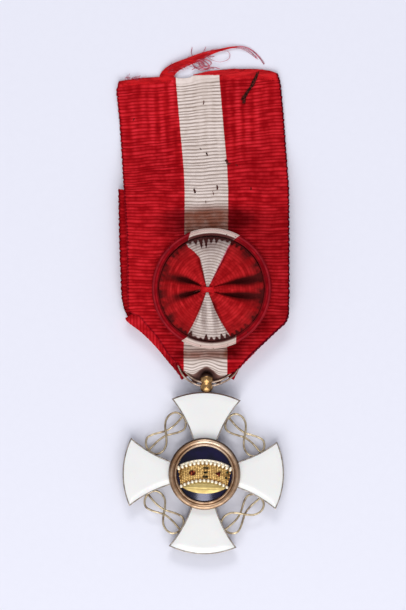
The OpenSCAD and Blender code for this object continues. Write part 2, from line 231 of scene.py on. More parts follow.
def read_table(rows, at, column=1, soften=0.0):
    """A column of a table at a place, with its corners softened."""
    rows = np.array(rows, float)
    shifts = np.linspace(-1, 1, 7) * soften if soften else [0.0]
    weights = [1.0 + 1e-9 - abs(s) / (soften * 1.2 or 1) for s in shifts]
    return sum(w * np.interp(np.asarray(at) + s, rows[:, 0], rows[:, column])
               for w, s in zip(weights, shifts)) / sum(weights)


def front_high(x, y):
    """Height of the silk's upper face: flat on the table near the cut end, raised at the rosette."""
    rise = 1 - ease((y - 17) / 21)
    wave = 0.10 * (1 + np.sin(0.42 * x + 0.5) * np.sin(0.23 * y)) * ease((y - 20) / 12)
    curl = 0.5 * ease((np.abs(x + 0.8) - 14.5) / 5) * ease((y - 36) / 12)
    return SILK + 0.08 + (LOOP_Z + LOOP_R - SILK - 0.08) * rise + wave + curl


def hill(value, middle, half, power=2):
    """1 where value is middle, and falling to 0 on both sides of it, past half."""
    return np.exp(-np.abs((value - middle) / half) ** power)


def rib_height(along, rib=RIB, size=0.12):
    return size * (np.abs(np.sin(math.pi * along / rib)) ** 0.8 - 0.6)


def thicken(cloth, thickness):
    """Gives a sheet its thickness below its face, in millimetres."""
    solid = cloth.modifiers.new("thickness", "SOLIDIFY")
    solid.thickness = thickness * MM
    solid.offset = -1
    bpy.ops.object.modifier_apply(modifier="thickness")


def weave_cloth(name, points, uv, thickness, **marks):
    """A sheet of cloth from a grid of points in millimetres, row by row from its lower end,
    with its place across and along the cloth as UV. marks are kept as attributes: stripe is
    how far a point is inside a white stripe, and soil how much dirt and painted shade it takes."""
    rows, columns = points.shape[:2]
    bpy.ops.object.select_all(action="DESELECT")
    bpy.ops.mesh.primitive_grid_add(x_subdivisions=columns - 1, y_subdivisions=rows - 1, size=2)
    cloth = bpy.context.object
    cloth.name = cloth.data.name = name
    mesh = cloth.data
    flat = np.empty(len(mesh.vertices) * 3, np.float32)
    mesh.vertices.foreach_get("co", flat)
    flat = flat.reshape(-1, 3)
    column = np.rint((flat[:, 0] + 1) / 2 * (columns - 1)).astype(int)
    row = np.rint((flat[:, 1] + 1) / 2 * (rows - 1)).astype(int)
    mesh.vertices.foreach_set("co", (points[row, column] * MM).astype(np.float32).ravel())
    corner = np.empty(len(mesh.loops), np.int32)
    mesh.loops.foreach_get("vertex_index", corner)
    mesh.uv_layers[0].data.foreach_set(
        "uv", uv[row[corner], column[corner]].astype(np.float32).ravel())
    for mark, values in marks.items():
        kept = mesh.attributes.new(mark, "FLOAT", "POINT")
        kept.data.foreach_set("value", values[row, column].astype(np.float32))
    mesh.update()
    bpy.ops.object.shade_smooth()
    if thickness:
        thicken(cloth, thickness)
    return cloth


def start_finish(name, inputs):
    """A shared finish: its node group, and the sockets that it is given and that it makes."""
    group = bpy.data.node_groups.new(name, "ShaderNodeTree")
    for socket, kind in inputs.items():
        group.interface.new_socket(socket, in_out="INPUT", socket_type="NodeSocket" + kind)
    for socket, kind in (("Color", "Color"), ("Roughness", "Float"), ("Height", "Float")):
        group.interface.new_socket(socket, in_out="OUTPUT", socket_type="NodeSocket" + kind)
    given = group.nodes.new("NodeGroupInput").outputs
    return group, given, group.nodes.new("NodeGroupOutput").inputs


def make_ribbed_silk():
    """Shared weave: fine warp over thick ribs, dyed crimson or left white inside the stripe, with
    painted shade in the rib valleys and painted sheen along the ribs.
    """
    group, given, made = start_finish("ribbed_silk", {
        "Across": "Float", "Along": "Float", "Stripe": "Float", "Rib": "Float",
        "Red Depth": "Float", "White Depth": "Float", "Smooth": "Float", "Pressed": "Float",
        "Crimson": "Color", "Shade": "Color"})
    turns = maths(group, "DIVIDE", given["Along"], given["Rib"])
    crest = maths(group, "ABSOLUTE", maths(group, "SINE", times(group, turns, math.pi)))
    # Painted shade: how far a point lies down between two ribs, where the shade colour goes.
    valley_shade = maths(group, "POWER", maths(group, "SUBTRACT", 1.0, crest), 1.2)
    valley_shade = times(group, valley_shade, maths(group, "SUBTRACT", 1.0, given["Smooth"]))
    spot = add_node(group, "CombineXYZ", {"X": given["Across"], "Y": given["Along"]}).outputs[0]
    each_rib = add_node(group, "CombineXYZ", {
        "X": times(group, given["Across"], 0.16),
        "Y": times(group, maths(group, "FLOOR", turns), 0.55)}).outputs[0]
    streak = noise(group, each_rib, 1.6, 3, 0.6)
    short_streak = noise(group, each_rib, 6.0)
    patch = noise(group, stretch(group, spot, (0.10, 0.07, 1)), 1.0)
    columns = maths(group, "SUBTRACT", noise(group, stretch(group, spot, (0.42, 0.05, 1)), 1.0), 0.5)
    pressed = eased_share(group, given["Pressed"], 0.0, 1.0, 0.35, 1.0)
    columns = plus(group, 0.5, times(group, columns, pressed))
    warp_line = maths(group, "SINE", times(group, given["Across"], 2 * math.pi / 0.17))
    fibre = noise(group, stretch(group, spot, (9, 1.4, 1)), 1.0)
    ragged = times(group, maths(group, "SUBTRACT", fibre, 0.5), 0.22)
    edge = plus(group, given["Stripe"], ragged)
    white = eased_share(group, edge, -0.07, 0.07)
    # lit is painted sheen and shade: the ribs are lighter and darker in streaks, patches and columns.
    lit = times(group, streak, 0.8)
    for part, weight in ((short_streak, 0.2), (patch, 0.4), (columns, 0.7)):
        lit = plus(group, lit, times(group, part, weight))
    lit = eased_share(group, lit, 0.85, 1.30)
    slant = plus(group, times(group, given["Across"], 2 * math.pi / 2.1), times(group, turns, 0.15))
    strength = times(group, given["Pressed"], eased_share(group, patch, 0.35, 0.60, 0.08, 0.28))
    shimmer = times(group, maths(group, "SINE", slant), strength)
    lit = plus(group, lit, times(group, warp_line, 0.03))
    lit = plus(group, lit, shimmer, clamp=True)
    middling = colour_mix(group, 0.25, given["Shade"], given["Crimson"])
    red = colour_mix(group, lit, middling, given["Crimson"])
    # Painted sheen: the crests of the crimson ribs take a pale highlight in streaks and columns.
    painted_sheen = plus(group, times(group, streak, 0.55), times(group, columns, 0.75))
    painted_sheen = plus(group, painted_sheen, times(group, shimmer, 0.4))
    painted_sheen = times(group, eased_share(group, painted_sheen, 0.54, 0.95, 0.0, 1.0),
                   eased_share(group, crest, 0.3, 0.95))
    painted_sheen = times(group, painted_sheen, given["Red Depth"])
    red = colour_mix(group, painted_sheen, red, SHEEN_HIGHLIGHT)
    # Painted shade in the rib valleys of the crimson.
    red = colour_mix(group, times(group, valley_shade, given["Red Depth"]), red, given["Shade"])
    # Painted shade on the white where lit is low.
    pale = colour_mix(group, eased_share(group, lit, 0.0, 0.7, 0.35, 0.0), OFF_WHITE,
                      (0.50, 0.40, 0.33, 1))
    # Painted shade in the rib valleys of the white.
    sunk_shade = times(group, valley_shade, eased_share(group, columns, 0.35, 0.60, 0.65, 1.0))
    pale = colour_mix(group, times(group, sunk_shade, given["White Depth"]), pale, WHITE_VALLEY_SHADE)
    group.links.new(colour_mix(group, white, red, pale), made["Color"])
    group.links.new(eased_share(group, lit, 0.0, 1.0, 0.60, 0.45), made["Roughness"])
    group.links.new(plus(group, times(group, warp_line, 0.25), fibre), made["Height"])
    return group


ribbed_silk = make_ribbed_silk()


def mark_on(tree, name):
    """A mark that the piece's mesh carries, such as its dirt and painted shade."""
    return add_node(tree, "Attribute", attribute_name=name).outputs["Fac"]


def place_up(tree):
    """The place on the piece along Y, in millimetres."""
    return add_node(tree, "SeparateXYZ", {"Vector": object_place(tree)}).outputs["Y"]


def silk_material(name, rib, crimson=CRIMSON, shade_colour=SHADED_CRIMSON, depths=(0.72, 0.95), cut=False):
    """Silk whose weave follows the piece's own UV map. cut is for the ribbon's strip, which has
    bare warp and pressed upright lines near its cut end. Returns what a finish adds to."""
    made, tree, shader = new_material(name, Specular_IOR_Level=0.0)
    uv = add_node(tree, "SeparateXYZ", {"Vector": add_node(tree, "UVMap").outputs["UV"]}).outputs
    stripe = mark_on(tree, "stripe")
    bare, pressed = 0.0, 0.3
    if cut:
        bare = eased_share(tree, uv[1], BARE_WARP - 0.6, BARE_WARP + 0.5, 1.0, 0.0)
        off_middle = maths(tree, "ABSOLUTE", uv[0])
        pressed = times(tree, eased_share(tree, uv[1], 12, 27, 1.0, 0.0),
                        eased_share(tree, off_middle, 10.0, 14.0, 1.0, 0.35))
    weave = add_node(tree, "Group", {
        "Across": uv[0], "Along": uv[1], "Stripe": stripe, "Rib": rib, "Red Depth": depths[0],
        "White Depth": depths[1], "Smooth": bare, "Pressed": pressed, "Crimson": crimson,
        "Shade": shade_colour}, node_tree=ribbed_silk).outputs
    return made, tree, shader, weave, uv


def feed_silk(tree, shader, colour, weave):
    """Joins the weave's gloss and relief to a silk's shader, with its own colour."""
    feed(tree, shader, colour, weave["Roughness"], weave["Height"], 0.7, 0.02 * MM)


def ring_mask(tree, place, centre, inner, outer, soften):
    """1 between two radii round a centre, in millimetres, fading over soften."""
    away = add_node(tree, "VectorMath", {0: add_node(tree, "VectorMath", {
        0: place, 1: (1, 1, 0)}, operation="MULTIPLY").outputs[0], 1: (*centre, 0)},
        operation="DISTANCE").outputs["Value"]
    return times(tree, eased_share(tree, away, inner - soften, inner),
                 eased_share(tree, away, outer, outer + soften, 1.0, 0.0))


ROSETTE = (1.95, 2.63)
ribbon_silk, tree, shader, weave, uv = silk_material("ribbon_silk", RIB, cut=True)
place = object_place(tree)
# Dirt and painted shadow: the silk round the rosette is darkened with the stain colours where the
# mesh marks it.
blotch = eased_share(tree, noise(tree, place, 0.35, 4, 0.6), 0.25, 0.6, 0.8, 1.0)
handled = times(tree, mark_on(tree, "handled"), blotch)
on_white = eased_share(tree, mark_on(tree, "stripe"), -0.07, 0.07)
grime_and_shade = colour_mix(tree, on_white, RED_STAIN_AND_SHADE, WHITE_STAIN_AND_SHADE)
stain_and_shade = colour_mix(tree, handled, weave["Color"], grime_and_shade, "MULTIPLY")
# Painted shade and dirt in the fold: the silk turns brown and then near black towards the balls.
in_fold = mark_on(tree, "soil")
stain_and_shade = colour_mix(tree, eased_share(tree, in_fold, 0.1, 0.6), stain_and_shade, FOLD_SHADE_AND_DIRT)
stain_and_shade = colour_mix(tree, eased_share(tree, in_fold, 0.4, 1.0), stain_and_shade, DEEP_IN_FOLD)
from_edge = mark_on(tree, "from_edge")
selvedge = eased_share(tree, from_edge, 0.05, 0.28, 1.0, 0.0)
selvedge = times(tree, selvedge, eased_share(tree, uv[0], -1.0, 1.0, 0.45, 0.8))
worn = colour_mix(tree, selvedge, stain_and_shade, (0.03, 0.001, 0.006, 1))
feed_silk(tree, shader, worn, weave)

# Rows of the strip, five to a rib, from the cut end down the front, round the fold and up behind
fold_from = FRONT_TOP - FOLD_Y
fold_to = fold_from + math.pi * LOOP_R
strip_end = fold_to + BACK_END - FOLD_Y
along = np.arange(0, strip_end, RIB / ROWS_PER_RIB)
front_y = FRONT_TOP - along
back_y = FOLD_Y + along - fold_to
turn = np.clip((along - fold_from) / LOOP_R, 0, math.pi)
on_front, on_back = along <= fold_from, along >= fold_to
middle = np.where(on_back, read_table(stripe_middle, back_y, soften=3),
                  read_table(stripe_middle, np.maximum(front_y, FOLD_Y), soften=3))
lean = 0.088 * ease((front_y - 22) / 10)
scallop = 0.13 * np.sin(math.pi * along / 1.25) ** 2
draw = random.Random(11)
rib_count = int(strip_end / RIB) + 2
rib_play = np.array([[draw.uniform(0.1, 0.9), draw.uniform(0, 6.3), draw.uniform(0.75, 1.25)]
                     for _ in range(rib_count)])[(along / RIB).astype(int)]


def rib_wander(s):
    """Ribs lie unevenly: some stretches are beaten up closer than others."""
    return (0.06 * np.sin(s * 2 * math.pi / 2.9) + 0.03 * np.sin(s * 2 * math.pi / 1.7 + 1)
            + 0.09 * np.sin(s * 2 * math.pi / 5.3 + 2)) * ease(s / 2)


def edge_line(front, back, column, side):
    """x of one edge of the strip, row by row, with its fine scallops."""
    x = read_table(front, front_y + lean * side * RIBBON_HALF, soften=0.5)
    x = np.where(on_front, x, read_table(fold_sides, np.degrees(turn), column, 12))
    x = np.where(on_back, read_table(back, back_y, soften=0.8), x)
    blunt = np.convolve(np.pad(x, 4, mode="edge"), np.ones(9) / 9, mode="valid")
    near_fold = hill(along, fold_from, 1.5) + hill(along, fold_to, 1.5)
    straight = np.where(on_front, ease((front_y + 1) / 2), ease((back_y + 1) / 2) * on_back)
    return x + (blunt - x) * np.clip(near_fold, 0, 1) + side * scallop * straight


# The strip's edges, its arch over the ball and how far its edges roll, row by row
left, right = edge_line(front_left, back_left, 1, -1), edge_line(front_right, back_right, 2, 1)
arch_share = ease((along - fold_from + 2.6) / 2.6) * (1 - ease((np.degrees(turn) - 92) / 45))
droop = 2.8 * hill(np.degrees(turn), 125, 27)
half_front = ease((-2.0 - front_y) / 1.5) * (1 - ease((along - fold_from + 1.5) / 1.5))
roll_r = {-1: 0.06 + 0.22 * half_front, 1: 0.06 + 0.42 * half_front}
ROLL_TURNS = np.radians([20, 45, 70, 100, 130, 165])
MIDDLE_COLUMNS = 41


def silk_points(x):
    """Points of the strip for an array of x, one row for each place along it."""
    s = along[:, None]
    fy, by, tn = front_y[:, None], back_y[:, None], turn[:, None]
    off = x - middle[:, None]
    sway = 0.10 * np.sin(0.35 * x + 0.2 * s) + 0.06 * np.sin(0.9 * x - 0.13 * s + 2)
    sway = sway + 0.025 * np.sin(2.1 * x + 0.5 * s) + rib_wander(s)
    arch = read_table(fold_edge, x, soften=0.7) + 16 - 0.1
    broad_arch = read_table(fold_edge, x, soften=2.4) + 16 - 0.1
    arch = broad_arch + (arch - broad_arch) * ease((s - fold_from + 0.8) / 1.6)
    y = fy + lean[:, None] * off + read_table(cut_off, x, soften=0.6) * (1 - ease(s / 3))
    z = front_high(x, y)
    from_ball = np.abs(x - BALL_X)
    hangs = hill(np.maximum(from_ball - 2.4, 0), 0, 1.6) - 0.75 * hill(from_ball, 0, 1.25)
    back_lift = np.clip(front_high(x, by) - 1.0, 0, 2.4) * ease((-x - 11) / 5) * ease((by + 2) / 5)
    folded_y = FOLD_Y - LOOP_R * np.sin(tn) - droop[:, None] * hangs
    on_fold = ~on_front[:, None] & ~on_back[:, None]
    y = np.where(on_fold, folded_y, np.where(on_back[:, None], by, y))
    z = np.where(on_fold, LOOP_Z + LOOP_R * np.cos(tn),
                 np.where(on_back[:, None], LOOP_Z - LOOP_R + 0.06 + back_lift, z))
    sway = sway * (1 - half_front[:, None] * ease((np.abs(x - 1.2) - 4) / 5))
    y = y + arch * arch_share[:, None] + sway * (1 - arch_share[:, None]) * ~on_fold
    return np.stack([x, y, z], axis=-1)


# The flat middle of the strip, and an edge on each side that rolls under with its ribs
shares = np.linspace(0, 1, MIDDLE_COLUMNS)[None, :]
inwards = np.stack([np.zeros_like(turn), np.sin(turn), -np.cos(turn)], axis=-1)
outer = {}
for side, edge in ((-1, left), (1, right)):
    line = silk_points(edge[:, None])[:, 0]
    d = np.gradient(line[:, :2], axis=0)
    d /= np.linalg.norm(d, axis=1)[:, None] + 1e-9
    out = np.stack([side * -d[:, 1], side * d[:, 0], np.zeros(len(d))], axis=-1)
    calm = ease((along - fold_from + 2.5) / 2)[:, None]
    out = out * (1 - calm) + np.array([side, 0.0, 0.0]) * calm
    out /= np.linalg.norm(out, axis=1)[:, None]
    base = line - out * roll_r[side][:, None]
    outer[side] = (base, out)
inner_left = outer[-1][0][:, 0]
inner_right = outer[1][0][:, 0]
body_points = silk_points(inner_left[:, None] + (inner_right - inner_left)[:, None] * shares)
ribs = (rib_height(along) * ease((along - BARE_WARP + 0.5) / 1.0))[:, None, None]
play = rib_play[:, None, 2:] * (1 + 0.35 * np.sin(rib_play[:, None, 0:1] * body_points[..., :1]
                                                  + rib_play[:, None, 1:2]))
body_points = body_points - inwards[:, None, :] * ribs * play
body_across = body_points[..., 0] - middle[:, None]
rolls = {}
for side in (-1, 1):
    base, out = outer[side]
    base = silk_points(base[:, :1])[:, 0]
    r = roll_r[side][:, None, None]
    t = ROLL_TURNS[None, :, None]
    rolled = base[:, None] + out[:, None] * r * np.sin(t) + inwards[:, None] * r * (1 - np.cos(t))
    rolled += (out[:, None] * np.sin(t) - inwards[:, None] * np.cos(t)) * ribs
    start = (base[:, 0] - middle)[:, None]
    rolls[side] = (rolled, start + side * roll_r[side][:, None] * ROLL_TURNS[None, :])
strip_points = np.concatenate([rolls[-1][0][:, ::-1], body_points, rolls[1][0]], axis=1)[::-1]
strip_across = np.concatenate([rolls[-1][1][:, ::-1], body_across, rolls[1][1]], axis=1)[::-1]
strip_along = np.repeat(along[::-1, None], strip_across.shape[1], axis=1)
# The silk round the balls is painted with the fold's shade, and with the dirt it has gathered
past_fold = np.degrees((strip_along - fold_from) / LOOP_R)
strip_x, strip_y = strip_points[..., 0], strip_points[..., 1]
dirt_starts = 76 - 46 * hill(strip_x, BALL_X, 1.8)
fold_soil = ease((past_fold - dirt_starts + 8) / 52) * (1 - ease((past_fold - 200) / 80))
# Hands have soiled the silk below the rosette. Painted shadow, with some dirt, darkens it above the
# rosette; painted shadow darkens it round and under the rosette and at its right, and it is also
# darker beside the stripe's right edge above the rosette.
from_rosette = np.hypot(strip_x - ROSETTE[0], strip_y - ROSETTE[1])
up_the_cloth = strip_y - 16.9 - 0.05 * strip_x + 0.010 * strip_x ** 2
above_rosette = (hill(strip_x, 0.5, 10.5, 4) * ease((5.2 - up_the_cloth) / 2.8)
                 * np.where(np.abs(strip_x - 0.9) < 4.8, 1.0, ease((up_the_cloth + 3.2) / 3))
                 * ease(strip_y / 4))
below_rosette = (hill(strip_x, 0.7, 8.0, 4) * hill(strip_y, -11.9, 1.7)
                 * ease((strip_y + 13.4) / 0.8))
round_rosette = (hill(from_rosette, 13.0, 3.2) * ease((-strip_y - 1) / 5)
                 * (0.4 + 0.6 * ease((strip_x + 8) / 12)) * ease((np.abs(strip_x - 0.6) - 3.6) / 2))
at_right = ease((strip_x - 9) / 4) * ease((22 - strip_y) / 4) * ease((strip_y + 8) / 6)
under_rosette = 1 - ease((from_rosette - 12.0) / 0.4)
by_the_stripe = hill(strip_x, 8.2, 3.6, 4) * ease((strip_x - 5) / 0.8) * hill(strip_y, 18.0, 2.0)
handled = above_rosette + 0.92 * below_rosette + 0.7 * round_rosette + 0.42 * at_right
handled = handled + under_rosette + 0.5 * by_the_stripe
handled = np.clip(handled, 0, 1) * (strip_along < fold_from)
edge_columns = len(ROLL_TURNS)
from_edge = np.minimum(strip_across - strip_across[:, edge_columns - 1:edge_columns],
                       strip_across[:, -edge_columns:1 - edge_columns] - strip_across)
ribbon = weave_cloth("ribbon_strip", strip_points,
                     np.stack([strip_across, strip_along], axis=-1), SILK,
                     stripe=STRIPE_HALF - np.abs(strip_across), soil=fold_soil,
                     from_edge=from_edge, handled=handled)
lying = np.empty(len(ribbon.data.vertices) * 3, np.float32)
ribbon.data.vertices.foreach_get("co", lying)
lying[2::3] = np.maximum(lying[2::3], 0)
ribbon.data.vertices.foreach_set("co", lying)


def dress(made, material, slot, *nodes):
    """Gives a piece its finish and has it stand for CAD nodes."""
    made.data.materials.append(material)
    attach(made, "root")
    if nodes:
        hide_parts(*nodes)


dress(ribbon, ribbon_silk, "ribbon_silk", "ribbon")

# Corners turned in between the ribbon's layers
# The silk's lower corners are folded over behind the diagonals, so their ribs run upright.
# The left one shows as a strip beside the diagonal, and both show as tips beside the ring.
LAYER_TOP = 3.36
LAYER_LOW = 0.46
corner_silk, tree, shader, weave, uv = silk_material("corner_silk", RIB)
# Painted shade: the corners darken towards the ring.
near_ring = eased_share(tree, place_up(tree), -16.0, -11.5, 0.75, 0.0)
shaded = colour_mix(tree, near_ring, weave["Color"], (0.38, 0.42, 0.50, 1), "MULTIPLY")
feed_silk(tree, shader, shaded, weave)


def smooth_line(points, step=0.14):
    """A smooth line through points, cut into even steps."""
    pts = np.array(points, float)
    pts = np.vstack([2 * pts[0] - pts[1], pts, 2 * pts[-1] - pts[-2]])
    t = np.linspace(0, 1, 24, endpoint=False)[:, None]
    dense = [0.5 * (2 * b + (c - a) * t + (2 * a - 5 * b + 4 * c - d) * t * t
                    + (3 * b - a - 3 * c + d) * t ** 3)
             for a, b, c, d in zip(pts, pts[1:], pts[2:], pts[3:])]
    dense = np.vstack(dense + [pts[-2]])
    way = np.concatenate([[0], np.cumsum(np.linalg.norm(np.diff(dense, axis=0), axis=1))])
    at = np.linspace(0, way[-1], max(2, int(way[-1] / step) + 1))
    return np.stack([np.interp(at, way, dense[:, k]) for k in range(dense.shape[1])], axis=-1)


def turned_corner(name, outline, side, section):
    """A folded corner along an outline. section gives, for each step from the inner edge out
    and round the fold, how far in from the outline it lies and its height."""
    line = smooth_line(outline)
    d = np.gradient(line, axis=0)
    d /= np.linalg.norm(d, axis=1)[:, None]
    inward = side * np.stack([d[:, 1], -d[:, 0]], axis=-1)
    inward *= np.sign(inward[:, 1:2] + 1e-6)
    run = smooth_line(section)
    points = np.empty((len(line), len(run), 3))
    points[..., :2] = line[:, None] + inward[:, None] * run[None, :, :1]
    points[..., 2] = run[None, :, 1]
    way = np.concatenate([[0], np.cumsum(np.linalg.norm(np.diff(run, axis=0), axis=1))])
    flat = line[:, None] + inward[:, None] * (run[0, 0] - way)[None, :, None]
    normal = np.cross(np.gradient(points, axis=0), np.gradient(points, axis=1))
    normal /= np.linalg.norm(normal, axis=-1)[..., None] + 1e-9
    points += side * normal * rib_height(flat[..., 0])[..., None]
    uv = flat[..., ::-1]
    if side < 0:
        points, uv = points[:, ::-1], uv[:, ::-1]
    made = weave_cloth(name, points, uv, SILK * 0.8, stripe=np.full(uv.shape[:2], -9.0))
    dress(made, corner_silk, "ribbon_silk", "ribbon")
    return made


fold_section = [(5.2, LAYER_TOP), (2.4, LAYER_TOP), (1.3, LAYER_TOP - 0.12), (0.4, 2.85),
                (0.0, 2.1), (0.25, 1.1), (0.9, 0.62), (2.6, LAYER_LOW + 0.1)]
tip_section = [(4.4, 0.85), (1.2, 0.85), (0.3, 1.02), (0.0, 0.8), (0.3, 0.6), (1.6, 0.55)]
corners = [
    turned_corner("corner_left", [(-16.85, -3.7), (-16.2, -4.6), (-13.2, -6.9), (-9.9, -10.2),
                                  (-7.2, -13.5), (-6.8, -14.0)], -1, fold_section),
    turned_corner("corner_right", [(17.7, -4.2), (16.3, -5.9), (12.0, -10.2), (8.6, -13.6)],
                  1, fold_section),
    turned_corner("tip_left", [(-10.4, -9.6), (-7.2, -13.5), (-5.2, -16.0), (-4.4, -17.3)],
                  -1, tip_section),
    turned_corner("tip_right", [(11.5, -11.1), (8.2, -14.5), (7.1, -16.4), (6.6, -17.3)],
                  1, tip_section),
]

# Loosened warp at the cut end
# The cut end was never sewn. A lock of crimson warp has come free and curls up to the right,
# the warp next to it lies over as a smooth band, and single threads stand out from both.
warp_floss, tree, shader = new_material("warp_floss", Specular_IOR_Level=0.25,
                                        Specular_Tint=(1.0, 0.45, 0.42, 1))
tone = noise(tree, stretch(tree, object_place(tree), (0.3, 1.4, 1.4)), 1.0)
feed(tree, shader, colour_mix(tree, eased_share(tree, tone, 0.35, 0.65), (0.42, 0.002, 0.006, 1),
                              (0.63, 0.009, 0.014, 1)),
     eased_share(tree, tone, 0.3, 0.7, 0.6, 0.5), tone, 0.4, 0.02 * MM)
fine_fibre, tree, shader = new_material("fine_fibre", Roughness=0.5, Specular_IOR_Level=0.3)
tone = noise(tree, object_place(tree), 0.8, 2)
feed(tree, shader, colour_mix(tree, eased_share(tree, tone, 0.35, 0.65), (0.34, 0.02, 0.05, 1),
                              (0.60, 0.12, 0.17, 1)))


def pick(made):
    """Selects one piece alone."""
    bpy.ops.object.select_all(action="DESELECT")
    made.select_set(True)
    bpy.context.view_layer.objects.active = made


def spin_threads(name, lines, thickness, material, slot="ribbon_silk", sides=1):
    """Threads along lines of points in millimetres, each a round tube."""
    drawn = bpy.data.curves.new(name, "CURVE")
    drawn.dimensions = "3D"
    drawn.bevel_depth = thickness / 2 * MM
    drawn.bevel_resolution = sides
    drawn.use_fill_caps = True
    for line in lines:
        spline = drawn.splines.new("POLY")
        spline.points.add(len(line) - 1)
        spline.points.foreach_set("co", np.hstack(
            [np.asarray(line) * MM, np.ones((len(line), 1))]).astype(np.float32).ravel())
    made = bpy.data.objects.new(name, drawn)
    bpy.context.scene.collection.objects.link(made)
    pick(made)
    bpy.ops.object.convert(target="MESH")
    made = bpy.context.object
    bpy.ops.object.shade_smooth()
    dress(made, material, slot)
    return made


def lay_strands(rows, count, seed, spread=1.0):
    """Strands side by side along a lock. rows: place of its middle, half-width, half-height."""
    draw = random.Random(seed)
    rows = np.array([[*at, wide, high] for at, wide, high in rows], float)
    line = smooth_line(rows, 0.45)
    d = np.gradient(line[:, :2], axis=0)
    d /= np.linalg.norm(d, axis=1)[:, None]
    side = np.stack([-d[:, 1], d[:, 0]], axis=-1)
    strands = []
    for _ in range(count):
        a, reach = draw.uniform(0, 2 * math.pi), draw.uniform(0.55, 1.0) * spread
        drift, wobble = draw.uniform(-0.9, 0.9), draw.uniform(0, 6)
        start, stop = draw.randint(0, 3), len(line) - draw.randint(0, 14)
        way = np.linspace(0, 1, len(line))
        ang = a + drift * way + 0.25 * np.sin(7 * way + wobble)
        across = reach * np.cos(ang) * line[:, 3]
        high = reach * np.sin(ang) * line[:, 4]
        strand = np.stack([line[:, 0] + side[:, 0] * across, line[:, 1] + side[:, 1] * across,
                           np.maximum(line[:, 2] + high, 0.1)], axis=-1)
        strands.append(strand[start:stop])
    return strands


# The loosened lock: the way of its middle, half-width, half-height
lock_rows = [((-8.1, 48.0, 0.45), 1.7, 0.12), ((-7.8, 49.6, 0.55), 1.55, 0.22),
             ((-6.3, 51.3, 0.62), 1.05, 0.34), ((-3.3, 52.7, 0.66), 0.8, 0.38),
             ((-0.9, 53.65, 0.66), 0.78, 0.36), ((1.2, 54.55, 0.6), 0.5, 0.28),
             ((3.4, 55.2, 0.5), 0.26, 0.16), ((5.8, 55.8, 0.4), 0.16, 0.1),
             ((7.6, 56.05, 0.3), 0.08, 0.06)]


def on_silk(x, y, lift=0.06):
    """A point on the ribbon's front, lifted off it."""
    return (x, y, float(front_high(np.float64(x), np.float64(y))) + lift)


# Where the cut end runs, as seen from above: x, y
cut_end = [(-18.3, 48.3), (-17.6, 48.7), (-12, 49.3), (-7, 49.7), (-5.5, 49.2), (-2.6, 49.3),
           (-1.2, 50.2), (4, 50.9), (11, 51.2), (15, 50.75), (16.3, 50.2), (17.3, 48.9)]


def comb_fringe(seed, rows):
    """Strands that stand out of the cut end and lie over. rows: how many, where their roots
    begin and end, how far they lean to the right, least and most, and how high they rise."""
    draw = random.Random(seed)
    strands = []
    for count, first, last, least, most, rise in rows:
        for _ in range(count):
            x = draw.uniform(first, last)
            leans = min(draw.uniform(least, most), max(0.1, 16.2 - x))
            reach = draw.uniform(0.05, 1.0) * rise
            high = draw.uniform(0.0, 0.12)
            shape = [(x, -rise - draw.uniform(0.1, 0.6), -0.02),
                     (x + 0.12 * leans, -0.8 * rise, 0.04 + high * 0.5),
                     (x + 0.5 * leans, -0.4 * rise - 0.3 * reach, 0.06 + high),
                     (x + leans, -0.12 - 0.8 * reach, 0.02 + high)]
            strands.append(smooth_line([
                on_silk(px, float(read_table(cut_end, px, soften=0.4)) + below, lift)
                for px, below, lift in shape], 0.3))
    return strands


strands = lay_strands(lock_rows, 150, 3) + lay_strands(lock_rows, 70, 5, 0.6)
lock = spin_threads("fray_lock", strands, 0.14, warp_floss)
over_white = []
draw = random.Random(17)
for _ in range(130):
    start, tip = draw.uniform(3.4, 7.0), draw.uniform(-2.1, 2.8)
    y = draw.uniform(49.8, 50.85)
    tip_y = 49.8 + (y - 49.8) * (tip + 2.3) / 5.1
    over_white.append(smooth_line([on_silk(start, y, draw.uniform(0.05, 0.15)),
                                   on_silk((start + tip) / 2, (y + tip_y) / 2 + 0.1, 0.15),
                                   on_silk(tip, tip_y, draw.uniform(0.06, 0.14))], 0.3))
band = spin_threads("fray_band", over_white + comb_fringe(7, [
    (420, 3.8, 15.2, 1.8, 4.6, 1.6), (60, 14.2, 16.4, 0.2, 1.0, 1.3)]), 0.13, warp_floss)
fringe = spin_threads("fray_left", comb_fringe(11, [
    (240, -17.6, -8.4, -0.5, 1.5, 0.9), (40, -17.8, -16.6, -0.8, 0.4, 0.7)]), 0.14, warp_floss)
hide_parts("ribbon")

